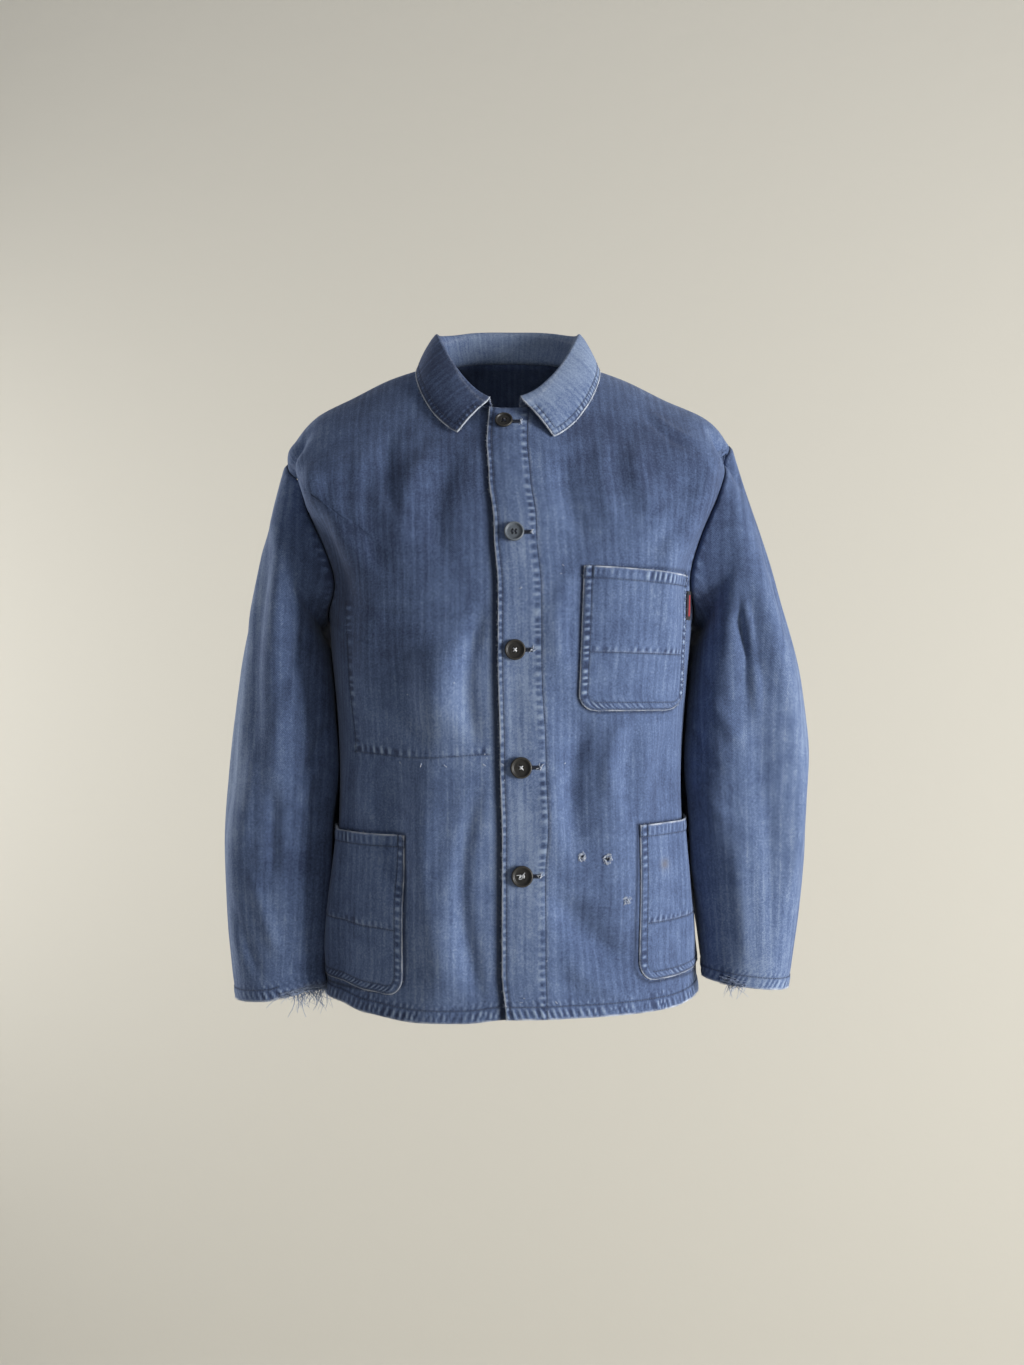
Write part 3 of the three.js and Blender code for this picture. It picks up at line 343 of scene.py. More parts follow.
SLEEVE_NAMES = ("outer_x", "outer_z", "inner_x", "inner_z", "middle_y", "depth")
SLEEVES = {
    Side.LEFT: Table(
        SLEEVE_NAMES,
        (
            (255, -122, 207, -268, 3, 70), (271, -168, 206, -277, 4, 75),
            (289, -222, 199, -292, 5, 78), (306, -278, 192, -320, 5, 78),
            (319, -334, 184, -362, 4, 76), (325, -396, 178, -414, 1, 73),
            (321, -462, 180, -470, -5, 68), (315, -526, 187, -526, -12, 62),
            (307, -590, 199, -586, -20, 55), (296, -652, 206, -641, -28, 48),
        ),
    ),
    Side.RIGHT: Table(
        SLEEVE_NAMES,
        (
            (256, -130, 207, -268, 3, 70), (265, -174, 206, -277, 4, 75),
            (278, -230, 199, -294, 5, 78), (291, -290, 191, -326, 5, 77),
            (300, -350, 183, -372, 4, 75), (308, -418, 178, -430, 2, 72),
            (311, -486, 180, -490, -3, 68), (308, -550, 186, -550, -10, 62),
            (302, -610, 193, -608, -19, 55), (294, -664, 196, -656, -28, 48),
        ),
    ),
}
SECTIONS = 10
SLEEVE_SQUARE = 2.15
SLEEVE_PER_DEGREE = 1.1
BESIDE_ROOM = 5.6
BESIDE_POCKET_ROOM = 11.0
BESIDE_POCKET_Z = -470.0
# Folds on the sleeves: upper and lower turn, first and last section, depth and half width.
SLEEVE_FOLDS = {
    Side.LEFT: (
        (62, 40, 1.2, 9.4, 5, 13), (92, 74, 2, 8.6, -5, 15), (125, 118, 3, 8, 4, 16),
        (15, 5, 2.5, 8, -3, 16), (300, 318, 1.5, 8, -6, 17), (262, 270, 2, 9, 5, 18),
    ),
    Side.RIGHT: (
        (48, 66, 1.4, 6.2, -5, 14), (22, 30, 3.2, 7.4, -5, 12), (80, 92, 1.5, 8.2, 5, 17),
        (45, 48, 6, 9.6, 4, 14), (128, 120, 3, 8.5, -4, 15), (298, 314, 1.5, 8, -6, 17),
        (258, 268, 2, 9, 5, 18),
    ),
}
# Smaller creases of the sleeves, in the same numbers.
SLEEVE_CREASES = {
    Side.LEFT: (
        (88, 84, 2.2, 5.6, 3.4, 5), (98, 95, 2.2, 5.8, -3.2, 9),
        (30, 48, 1.6, 4.4, -2.6, 9), (70, 58, 2.2, 5.4, 2.6, 9), (104, 82, 2.6, 4.6, -3.2, 8),
        (128, 96, 4.6, 5.9, 2.6, 7), (150, 112, 5.2, 6.4, -2.8, 7), (140, 108, 6.2, 7.2, 2.2, 7),
        (34, 52, 5.6, 8.8, 3.0, 9), (72, 70, 6.4, 9.6, -2.6, 9), (104, 98, 7.2, 9.8, 2.4, 9),
        (230, 250, 3.4, 6.0, -2.6, 11), (210, 246, 5.0, 6.6, 2.4, 9),
        (330, 322, 5.6, 9.0, 2.6, 12),
    ),
    Side.RIGHT: (
        (86, 88, 6.0, 7.9, -4.6, 8), (66, 58, 5.4, 7.6, 2.8, 9), (110, 84, 4.0, 5.6, 2.4, 9),
        (128, 100, 2.4, 4.4, -3.0, 9), (148, 104, 4.8, 6.2, -2.8, 7), (134, 96, 5.6, 6.8, 2.4, 7),
        (62, 96, 7.4, 9.2, 3.2, 9), (36, 74, 7.8, 9.6, -2.8, 9), (24, 40, 1.6, 4.0, 2.4, 9),
        (230, 250, 3.4, 6.0, -2.6, 11), (214, 246, 5.2, 6.8, 2.4, 9),
        (332, 322, 5.4, 8.8, 2.6, 12),
    ),
}
CUFF_WEAR = Table(
    ("turn", "rise"),
    (
        (0, 0), (80, 0), (96, 2.5), (112, 4), (128, 6.5), (144, 5), (160, 6), (178, 3),
        (200, 0), (360, 0),
    ),
)

COLLAR = Table(
    ("seam_turn", "stand", "out", "leaf_turn", "leaf_row"),
    (
        (12, 8, 7, 26, 1.7), (33, 15, 6, 42, 1.62), (60, 23, 6, 64, 1.4), (90, 31, 7, 92, 1.1),
        (135, 34, 6, 135, 1.15), (180, 35, 6, 180, 1.2),
    ),
)


# Forms.


def armhole_span(on_left: bool | Array) -> tuple[Array, Array]:
    """The middle row and half height, in rows, of the armhole on the left or the right."""
    top = np.where(on_left, ARMHOLE_TOP_ROW[Side.LEFT], ARMHOLE_TOP_ROW[Side.RIGHT])
    return (top + ARMHOLE_LOW_ROW) / 2, (ARMHOLE_LOW_ROW - top) / 2


def row_at_height(height: Callable[[Array], Array], z: Array, first: float) -> Array:
    """The body row where a height that falls from row to row reaches z.

    The range of rows is halved again and again.

    Args:
        height: Gives the height at fractional rows.
        z: The heights wanted.
        first: The lowest row number to look at. The last is the hem's.

    Returns:
        Fractional rows.
    """
    low, high = np.full(z.shape, float(first)), np.full(z.shape, float(LAST_ROW))
    for _ in range(HALVINGS):
        row = (low + high) / 2
        above = height(row) > z
        low, high = np.where(above, row, low), np.where(above, high, row)
    return (low + high) / 2


def folds_at(folds: tuple, turn: Array, place: Array, per_degree: float,
             by_height: bool) -> Array:
    """The sum of soft folds.

    Each is a bell across the turn, in millimetres of cloth, whose middle line runs straight from
    its upper to its lower end, and it rises and falls softly over its ends.

    Args:
        folds: Rows of a fold table.
        turn: Degrees round the piece.
        place: Height in millimetres, or section number.
        per_degree: Millimetres of cloth in a degree.
        by_height: True if rows pair turns with heights, False if both turns come first.

    Returns:
        How far the cloth moves out.
    """
    total = np.zeros(np.broadcast(turn, place).shape)
    for a, b, c, d, depth, reach in folds:
        top_turn, start, low_turn, end = (a, b, c, d) if by_height else (a, c, b, d)
        share = (place - start) / (end - start)
        away = (turn - mix(top_turn, low_turn, share) + 540) % 360 - 180
        ends = smooth(0, FOLD_END, share) * smooth(1, 1 - FOLD_END, share)
        total = total + depth * ends * bell(away * per_degree, reach)
    return total


class BodyForm:
    """The worn body of the jacket as a surface of turn round the body and row down it."""

    STEP = 0.5
    ROW_STEP = 0.05

    def base(self, turn: Array, row: Array) -> Array:
        """The bare surface.

        A superellipse between the front, side and back values of the row, raised to the side by
        a power of how far across it is, with the hem's rises and the hollow beside the armhole.

        Args:
            turn: Degrees from the middle of the front, positive towards +X.
            row: Fractional row of the body table.

        Returns:
            Points in millimetres, with a last axis of three.
        """
        turn, row = np.broadcast_arrays(np.asarray(turn, float), np.asarray(row, float))
        angle = np.radians(turn)
        is_front = np.cos(angle) >= 0
        square = BODY.at("square", row)
        sine, cosine = np.sin(angle), np.cos(angle)
        radius = (np.abs(sine) ** square + np.abs(cosine) ** square) ** (-1 / square)
        across = sine * radius
        middle_y = np.where(is_front, BODY.at("front_y", row), BODY.at("back_y", row))
        middle_z = np.where(is_front, BODY.at("front_z", row), BODY.at("back_z", row))
        x = BODY.at("side_x", row) * across
        x = x + NECK_SHIFT_X * smooth(NECK_SHIFT_ROWS[1], NECK_SHIFT_ROWS[0], row)
        y = -middle_y * cosine * radius
        z = mix(middle_z, BODY.at("side_z", row), np.abs(across) ** RISE)
        z = z + HEM_RISES.by("turn", "rise", turn) * smooth(LAST_ROW - HEM_REACH, LAST_ROW, row)
        middle, half = armhole_span(turn > 0)
        faces_front = np.abs(turn) < 90
        reach = np.where(faces_front, ARMHOLE_REACH["front"], -ARMHOLE_REACH["back"])
        lean = (90 - np.abs(turn)) / reach
        oval = np.hypot(lean, (row - middle) / half)
        depth = np.where(faces_front, HOLLOW_DEPTH["front"], -HOLLOW_DEPTH["back"])
        y = y + depth * np.clip(lean, 0, 1) * bell(np.abs(oval - 1) * HOLLOW_OVAL, HOLLOW_REACH)
        return np.stack([x, y, z], -1)

    def ways(self, surface: Callable[..., Array], turn: Array, row: Array) -> tuple[Array, Array]:
        """The outward normals and the unit directions down a surface, by small steps."""
        low = np.clip(row - self.ROW_STEP, 0, LAST_ROW)
        high = np.clip(row + self.ROW_STEP, 0, LAST_ROW)
        around = surface(turn + self.STEP, row) - surface(turn - self.STEP, row)
        down = surface(turn, high) - surface(turn, low)
        return unit(np.cross(down, around)), unit(down)

    def folded(self, turn: Array, row: Array) -> Array:
        """The bare surface moved along its normal by the large folds."""
        point = self.base(turn, row)
        height = folds_at(BODY_FOLDS, turn, point[..., 2], GIRTH_PER_DEGREE, True)
        return point + self.ways(self.base, turn, row)[0] * height[..., None]

    def point(self, turn: Array, row: Array,
              lift: float | Array = 0.0) -> tuple[Array, Array, Array]:
        """A body point with its folds, moved out along the surface.

        Args:
            turn: Degrees from the middle of the front.
            row: Fractional row.
            lift: Millimetres outwards.

        Returns:
            The points, the outward normals and the unit directions down the cloth.
        """
        turn, row = np.broadcast_arrays(np.asarray(turn, float), np.asarray(row, float))
        normal, down = self.ways(self.folded, turn, row)
        lift = np.broadcast_to(np.asarray(lift, float), turn.shape)
        return self.folded(turn, row) + normal * lift[..., None], normal, down

    def lap(self, turn: Array, row: Array) -> Array:
        """How far the left front is lifted where it laps over the right one."""
        return LAP_HEIGHT * (1 - smooth(LAP_RANGE[0], LAP_RANGE[1], self.base(turn, row)[..., 0]))

    def seen_at(self, x: float | Array, z: float | Array) -> tuple[Array, Array]:
        """The turn and the row of the front point at a place across and a height.

        The row is found by its height, and the turn from the superellipse.

        Args:
            x: Millimetres across.
            z: Millimetres up.

        Returns:
            Turns in degrees, and rows.
        """
        x, z = np.broadcast_arrays(np.asarray(x, float), np.asarray(z, float))

        def share(row: Array) -> Array:
            """How far across towards the side x lies at a row."""
            return np.minimum(0.999, np.abs(x) / BODY.at("side_x", row))

        def height(row: Array) -> Array:
            """The height of the surface at x and a row."""
            return mix(BODY.at("front_z", row), BODY.at("side_z", row), share(row) ** RISE)

        row = row_at_height(height, z, 0)
        square = BODY.at("square", row)
        ahead = (1 - share(row) ** square) ** (1 / square)
        return np.sign(x) * np.degrees(np.arctan2(share(row), ahead)), row

    def turn_after(self, start: Array, row: Array, length: Array) -> Array:
        """The turn reached by going round the body over a length of cloth.

        Running sums of the distances between points half a degree apart, read back at the length.

        Args:
            start: Starting turn of each row, one number a row.
            row: Body rows, one number a row.
            length: Millimetres of cloth, rows by columns.

        Returns:
            Turns, rows by columns.
        """
        steps = np.arange(0, 121) * self.STEP
        points = self.base(start[:, None] + steps, row[:, None])
        gone = np.cumsum(np.linalg.norm(np.diff(points, axis=1), axis=-1), axis=1)
        gone = np.concatenate([np.zeros((len(start), 1)), gone], axis=1)
        return np.stack([a + np.interp(w, g, steps) for a, w, g in zip(start, length, gone)])


BODY_FORM = BodyForm()


def crease(x: Array, z: Array, creases: tuple) -> Array:
    """The sum of soft creases on a view.

    Each is a bell of the distance from its straight middle line, which rises and falls softly
    over its ends.

    Args:
        x: Millimetres across.
        z: Millimetres up.
        creases: Rows of a crease table.

    Returns:
        How far the cloth moves out.
    """
    total = np.zeros(np.shape(x))
    for x0, z0, x1, z1, depth, reach in creases:
        long = math.hypot(x1 - x0, z1 - z0)
        along = ((x - x0) * (x1 - x0) + (z - z0) * (z1 - z0)) / long
        away = ((x - x0) * (z1 - z0) - (z - z0) * (x1 - x0)) / long
        bowed = away - 0.08 * long * np.sin(np.pi * np.clip(along / long, 0, 1))
        ends = smooth(-0.12 * long, 0.3 * long, along) * smooth(1.12 * long, 0.7 * long, along)
        total = total + 1.35 * depth * ends * bell(bowed, reach)
    return total


# Soft slack of the cloth: the height of each size of noise, its cell across and along, all in
# millimetres, and its own seed.
BODY_SLACK = ((1.2, 64, 150, 5), (0.9, 34, 74, 3), (0.22, 15, 26, 4))
SLEEVE_SLACK = ((1.5, 64, 120, 2), (0.9, 36, 60, 0), (0.25, 15, 24, 1))


def slack(u: Array, v: Array, sizes: tuple, seed: int = 0) -> Array:
    """The sum of several sizes of soft noise over the cloth, in millimetres."""
    return sum(height * drift(u / wide, v / long, seed + own) for height, wide, long, own in sizes)


def rumple(turn: Array, row: Array) -> Array:
    """How far the worn cloth of the body stands off its smooth form, in millimetres.

    Three sizes of soft noise over the girth and the height, and the creases of the front and
    the back. It fades out at the neck, the hem, the front edge, the side seams and armholes, and
    it is the same for all that lies there, so that nothing on the cloth sinks into it.

    Args:
        turn: Degrees from the middle of the front.
        row: Fractional row of the body table.

    Returns:
        Millimetres outwards.
    """
    point = BODY_FORM.base(turn, row)
    x, z = point[..., 0], point[..., 2]
    u = GIRTH_PER_DEGREE * np.broadcast_to(turn, x.shape)
    front = np.abs(turn) < 90
    folds = np.where(front, crease(x, z, FRONT_CREASES), crease(x, z, BACK_CREASES))
    middle, half = armhole_span(turn > 0)
    reach = np.where(front, ARMHOLE_REACH["front"], ARMHOLE_REACH["back"])
    short = reach * np.sqrt(np.maximum(0, 1 - ((row - middle) / half) ** 2))
    to_side = np.abs(90 - np.abs(turn)) - short
    edge = np.where(front, np.abs(x - LEFT_EDGE.by("z", "x", z)), FAR)
    calm = smooth(0.3, 2.4, row) * smooth(LAST_ROW, LAST_ROW - 0.6, row)
    return (slack(u, z, BODY_SLACK) + folds) * calm * smooth(0, 9, to_side) * smooth(0, 18, edge)


def pocket_shade(points: Array) -> Array:
    """Millimetres outside the nearest pocket's outline, seen from the front.

    For each pocket it is the distance from a rectangle with leaning sides and round bottom
    corners.
    """
    x, z = points[..., 0], points[..., 2]
    nearest = np.full(x.shape, FAR)
    for left, right, top, bottom, lean in POCKET_OUTLINES:
        moved = x + lean * (top - z) / (top - bottom)
        beside = np.maximum(left - moved, moved - right) + POCKET_ROUND
        below = bottom - z + POCKET_ROUND
        rounded = np.hypot(np.maximum(beside, 0), np.maximum(below, 0)) - POCKET_ROUND
        outside = np.where(z < bottom + POCKET_ROUND, rounded, beside - POCKET_ROUND)
        outside = np.where(z > top, np.hypot(np.maximum(outside, 0), z - top), outside)
        nearest = np.where(np.abs(outside) < np.abs(nearest), outside, nearest)
    return nearest


def seam_turn(side: Side, row: Array, reach: float) -> Array:
    """How many degrees short of the side a panel ends, at its seam or armhole."""
    middle, half = armhole_span(side > 0)
    across = np.sqrt(np.maximum(0, 1 - ((row - middle) / half) ** 2))
    return reach * across + np.degrees(SEAM_GAP / BODY.at("front_y", row))


def spaced(place: Array, gone: Array, weight: Array, step: float, multiple: int) -> Array:
    """Places that are a step of cloth apart, closer together where the weight is above 1.

    They are read back from the running sum of the weight over the length of cloth.

    Args:
        place: Finely spaced places, such as rows.
        gone: Millimetres of cloth from the first place to each.
        weight: How many times closer together the places are to be at each.
        step: Millimetres between two places.
        multiple: The number of spans is a multiple of this.

    Returns:
        The places, one more than the spans.
    """
    load = np.concatenate([[0.0], np.cumsum(0.5 * (weight[1:] + weight[:-1]) * np.diff(gone))])
    spans = multiple * math.ceil(load[-1] / step / multiple)
    return np.interp(np.linspace(0, load[-1], spans + 1), load, place)


def even_rows(turn: float, step: float, finer: float) -> Array:
    """Body rows a given length of cloth apart at one turn, closer together above the hem.

    Args:
        turn: Where the length is measured.
        step: Millimetres between rows.
        finer: How many times closer together they are above the hem.

    Returns:
        Fractional rows from 0 to the last.
    """
    dense = np.linspace(0, LAST_ROW, 1401)
    gone = lengths(BODY_FORM.base(np.full(dense.shape, turn), dense), 0)
    weight = 1 + (finer - 1) * smooth(gone[-1] - 28, gone[-1] - 18, gone)
    return spaced(dense, gone, weight, step, STRIDE)


def uneven_shares(length: float, step: float, fine_to: float, fine: float) -> Array:
    """Shares from 0 to 1 across a panel, closer together over its first part.

    Args:
        length: The width of the panel.
        step: Spacing beyond the first part.
        fine_to: Width of the first part.
        fine: Spacing in the first part.

    Returns:
        The shares.
    """
    dense = np.linspace(0, length, 1001)
    weight = mix(1 / fine, 1 / step, smooth(fine_to, fine_to + 20, dense))
    return spaced(dense, dense, weight, 1.0, STRIDE) / length


def lengths(points: Array, axis: int) -> Array:
    """Running length of cloth along an axis of a grid of points, from 0."""
    steps = np.linalg.norm(np.diff(points, axis=axis), axis=-1)
    start = np.zeros_like(np.take(steps, [0], axis=axis))
    return np.concatenate([start, np.cumsum(steps, axis=axis)], axis=axis)


def grid_normals(points: Array, tube: bool, sign: float) -> Array:
    """Unit normals of a grid of points: the cross product of its two central differences."""
    if tube:
        across = np.roll(points, -1, axis=1) - np.roll(points, 1, axis=1)
    else:
        across = np.gradient(points, axis=1)
    return sign * unit(np.cross(across, np.gradient(points, axis=0)))


def facing_sign(points: Array, normal: Array) -> float:
    """1 if the cross product of a grid's directions faces along the normals, and -1 if not."""
    across = np.cross(np.gradient(points, axis=1), np.gradient(points, axis=0))
    return float(np.sign(np.sum(across * normal)))


def hem_rise(up: Array, height: float) -> Array:
    """How much thicker the cloth is over a turned hem of a height, in millimetres."""
    return HEM_EXTRA * smooth(height + 1.2, height - 0.8, up)


def cells(values: Array) -> tuple[Array, Array, Array]:
    """For each cell of a grid, its middle value and its steps down the rows and across."""
    a, b, c, d = values[:-1, :-1], values[:-1, 1:], values[1:, :-1], values[1:, 1:]
    return (a + b + c + d) / 4, (c + d - a - b) / 2, (b + d - a - c) / 2


# Meshes.


def make_object(name: str, points: Array, faces: list, looks: dict[str, Array],
                uv: Array | None = None) -> bpy.types.Object:
    """A mesh object at the origin from points in millimetres.

    Args:
        name: Name of the object.
        points: Points, one a row.
        faces: Lists of corner numbers, or arrays of them.
        looks: Numbers for each point, by attribute name.
        uv: A pair of millimetres on the flat cloth for each point.

    Returns:
        The object, linked to the scene and smoothly shaded.
    """
    mesh = bpy.data.meshes.new(name)
    mesh.from_pydata((points * MM).tolist(), [], faces)
    mesh.validate()
    corner = np.empty(len(mesh.loops), np.int32)
    mesh.loops.foreach_get("vertex_index", corner)
    if uv is not None:
        layer = mesh.uv_layers.new(name="cut")
        layer.data.foreach_set("uv", (uv[corner] * MM).astype(np.float32).ravel())
    for label, values in looks.items():
        made = mesh.attributes.new(label, "FLOAT", "POINT")
        made.data.foreach_set("value", np.asarray(values, np.float32).ravel())
    mesh.polygons.foreach_set("use_smooth", np.ones(len(mesh.polygons), bool))
    mesh.update()
    thing = bpy.data.objects.new(name, mesh)
    bpy.context.scene.collection.objects.link(thing)
    return thing


@dataclass(frozen=True)
class Puckers:
    """How cloth puckers beside a kind of seam, in millimetres.

    The middle of the band beyond its line, the mean distance between crests, half the height of
    a crest over its trough, the half width of the band, and how far the puckers lean along the
    seam for each millimetre across it.
    """

    middle: float
    period: float
    depth: float
    reach: float
    skew: float = 0.12


HEM_PUCKERS = Puckers(6.2, 6.9, 0.62, 5.2, 0.35)
OVER_HEM_PUCKERS = Puckers(16.0, 6.9, 0.2, 3.0, 0.35)
SIDE_PUCKERS = Puckers(5.2, 10.0, 0.3, 3.6)
BACK_SIDE_PUCKERS = Puckers(3.2, 10.0, 0.3, 3.6)
ARMHOLE_PUCKERS = Puckers(3.5, 11.0, 0.10, 4.0)
BACK_ARMHOLE_PUCKERS = Puckers(3.5, 11.0, 0.12, 4.0)
FRONT_EDGE_PUCKERS = Puckers(2.4, 7.6, 0.34, 2.2, 0.0)
FACING_PUCKERS = Puckers(-4.2, 8.7, 0.42, 3.0, 0.0)
INNER_POCKET_PUCKERS = Puckers(4.2, 8.2, 0.5, 3.8)
UNDER_INNER_POCKET_PUCKERS = Puckers(-3.0, 9.2, 0.1, 2.6)
INNER_POCKET_SIDE_PUCKERS = Puckers(3.0, 9.0, 0.3, 3.0)
CUFF_PUCKERS = Puckers(6.0, 6.9, 0.58, 5.0, 0.35)
OVER_CUFF_PUCKERS = Puckers(15.2, 6.9, 0.18, 3.0, 0.35)
SLEEVE_TOP_PUCKERS = Puckers(6.0, 11.0, 0.12, 4.0)
FELLED_PUCKERS = Puckers(3.2, 10.5, 0.3, 3.4)
COLLAR_PUCKERS = Puckers(0.0, 5.2, 0.5, 2.7)
OVER_COLLAR_PUCKERS = Puckers(9.0, 6.5, 0.14, 3.0)
POCKET_SIDE_PUCKERS = Puckers(0.0, 7.8, 0.5, 2.8)
POCKET_BOTTOM_PUCKERS = Puckers(0.0, 5.4, 0.5, 2.8)
POCKET_MOUTH_PUCKERS = Puckers(6.2, 7.0, 0.62, 4.6)
POCKET_SEAM_PUCKERS = Puckers(-3.6, 8.0, 0.34, 3.0)


@dataclass
class Seams:
    """The stitch lines of one piece, gathered over its grid."""

    shape: tuple[int, ...]
    lines: list = field(default_factory=list)
    lift: Array = field(init=False)
    pucker: Array = field(init=False)
    wear: Array = field(init=False)
    painted_shade: Array = field(init=False)

    def __post_init__(self) -> None:
        """Starts with no line anywhere."""
        self.lift, self.pucker, self.wear, self.painted_shade = (np.zeros(self.shape) for _ in range(4))

    def stitch(self, away: Array, run: Array, where: Array | float = 1.0) -> None:
        """A line of stitches in a slight groove, with painted shade along it.

        Args:
            away: Signed millimetres from the line.
            run: Millimetres along it.
            where: 1 where the line is sewn and 0 beyond its ends.
        """
        away, run, where = (np.broadcast_to(v, self.shape) for v in (away, run, where))
        self.lines.append((away, run, where))
        self.lift = self.lift - 0.38 * where * bell(away, 1.3)
        # Painted shade in the groove of the stitches.
        self.painted_shade = self.painted_shade + 0.55 * where * bell(away, 1.1)

    def ruck(self, line: Array, run: Array, kind: Puckers, seed: int,
             where: Array | float = 1.0) -> None:
        """Puckers across a band beside a seam: an uneven wave under a bell.

        Args:
            line: Signed millimetres from the line that the band lies beside.
            run: Millimetres along it.
            kind: The size and the place of the puckers.
            seed: Which noise to take.
            where: 1 where the cloth puckers and 0 elsewhere.
        """
        away = line - kind.middle
        wave = ripple(run + kind.skew * away, kind.period, seed)
        wave = np.broadcast_to(where, self.shape) * bell(away, kind.reach) * wave
        self.lift = self.lift + kind.depth * wave
        self.pucker = self.pucker + wave * min(1.2, kind.depth / 0.3)

    def rub(self, away: Array, reach: float, amount: float, where: Array | float = 1.0,
            run: Array | None = None) -> None:
        """Wears the dye off along a line, and patchily if the millimetres along it are given."""
        patchy = 1.0 if run is None else np.clip(0.8 + 0.9 * drift(run / 8, 0.5, 8), 0.12, 1.5)
        self.wear = self.wear + amount * patchy * where * bell(away, reach)

    def shade(self, away: Array, reach: float, amount: float, where: Array | float = 1.0) -> None:
        """Paints shade along a line, where a recess or the edge beside it shades the cloth."""
        self.painted_shade = self.painted_shade + amount * where * bell(away, reach)

    def looks(self, points: Array, darker_dye_and_shade: Array | float = 0.0,
              stain: Array | float = 0.0) -> dict[str, Array]:
        """The attributes for the material.

        Args:
            points: The grid's points, for the faded dye and the painted light and shade.
            darker_dye_and_shade: Added to the lightening, for less faded dye and painted shade.
            stain: How stained the cloth is.

        Returns:
            Numbers for each point, by attribute name.
        """
        return {
            "pucker": np.clip(self.pucker, -1.5, 1.5),
            "wear": np.clip(self.wear, 0, 1.5),
            "painted_shade": np.clip(self.painted_shade, 0, 1.5),
            "fade": faded_dye_and_painted_light(points) + darker_dye_and_shade,
            "stain": np.broadcast_to(stain, self.shape),
        }

    def stitches(self, outer: Array, sign: float, fill: float = 0.66) -> Array:
        """A short path for every stitch of every line.

        Within a cell of the grid, the distance from a line and the run along it are taken as
        linear. A stitch lies where the first is zero and the second a whole number of stitch
        lengths. It points along the line, and its ends dip into the cloth.

        Args:
            outer: The cloth's outer face, rows by columns by three.
            sign: 1 or -1, so that the cross product of its two directions faces outwards.
            fill: The share of a stitch length with thread on top.

        Returns:
            Stitches by three points by three.
        """
        middle, down, across = cells(outer)
        normal = sign * unit(np.cross(across, down))
        found = []
        for away, run, where in self.lines:
            (a, a_down, a_across), (r, r_down, r_across) = cells(away), cells(run)
            spread = a_down * r_across - a_across * r_down
            spread = np.where(np.abs(spread) < 1e-6, 1e-6, spread)
            want = np.round(r / STITCH_LENGTH) * STITCH_LENGTH - r
            s = (-a * r_across - a_across * want) / spread
            t = (a_down * want + a * r_down) / spread
            step = (a_down / spread)[..., None] * across - (a_across / spread)[..., None] * down
            size = np.linalg.norm(step, axis=-1)
            keep = (np.maximum(np.abs(s), np.abs(t)) <= 0.5) & (cells(where)[0] > 0.5)
            keep &= (size > 0.6) & (size < 1.7)
            centre = (middle + s[..., None] * down + t[..., None] * across)[keep]
            half, up = 0.5 * fill * STITCH_LENGTH * unit(step[keep]), normal[keep]
            dip = STITCH_DIP * up
            path = [centre - half - dip, centre + STITCH_RISE * up, centre + half - dip]
            found.append(np.stack(path, 1))
        return np.concatenate(found)


@dataclass
class Shell:
    """A closed thin wall of cloth: a fine outer grid, a coarser inner one, and rims."""

    name: str
    outer: Array
    thickness: float | Array
    uv: Array
    looks: dict[str, Array]
    sign: float = 1.0
    tube: bool = False
    stride: int = STRIDE

    def build(self) -> bpy.types.Object:
        """Joins both grids.

        The inner grid takes every few points of the outer one, moved in along the normal by the
        thickness. Each rim face joins one inner span to the outer points over it.

        Returns:
            The mesh object.
        """
        m, n = self.outer.shape[:2]
        k = self.stride
        normal = grid_normals(self.outer, self.tube, self.sign)
        thick = np.broadcast_to(np.asarray(self.thickness, float), (m, n))[..., None]
        inner = (self.outer - normal * thick)[::k, ::k]
        mi, ni = inner.shape[:2]
        o = np.arange(m * n).reshape(m, n)
        i = m * n + np.arange(mi * ni).reshape(mi, ni)
        if self.tube:
            o = np.concatenate([o, o[:, :1]], axis=1)
            i = np.concatenate([i, i[:, :1]], axis=1)

        def quads(a: Array, flip: bool) -> Array:
            """Four corners for each cell of a grid of point numbers."""
            q = np.stack([a[:-1, :-1], a[1:, :-1], a[1:, 1:], a[:-1, 1:]], -1).reshape(-1, 4)
            return q[:, ::-1] if flip else q

        def rim(a: Array, b: Array, flip: bool) -> Array:
            """One face for each inner span b, with the outer points a over it."""
            spans = len(b) - 1
            fan = np.stack([a[np.arange(spans) * k + j] for j in range(k + 1)], -1)
            face = np.concatenate([fan, b[1:, None], b[:-1, None]], axis=1)
            return face[:, ::-1] if flip else face

        up = self.sign < 0
        faces = quads(o, up).tolist() + quads(i, not up).tolist()
        faces += rim(o[0], i[0], up).tolist() + rim(o[-1], i[-1], not up).tolist()
        if not self.tube:
            faces += rim(o[:, 0], i[:, 0], not up).tolist() + rim(o[:, -1], i[:, -1], up).tolist()
        points = np.concatenate([self.outer.reshape(-1, 3), inner.reshape(-1, 3)])

        def both(values: Array) -> Array:
            """Values of the outer points, then of the inner ones."""
            tail = values.shape[2:]
            return np.concatenate([v.reshape(-1, *tail) for v in (values, values[::k, ::k])])

        side = np.concatenate([np.zeros(m * n), np.ones(mi * ni)])
        looks = {label: both(values) for label, values in self.looks.items()} | {"inside": side}
        return make_object(self.name, points, faces, looks, both(self.uv))


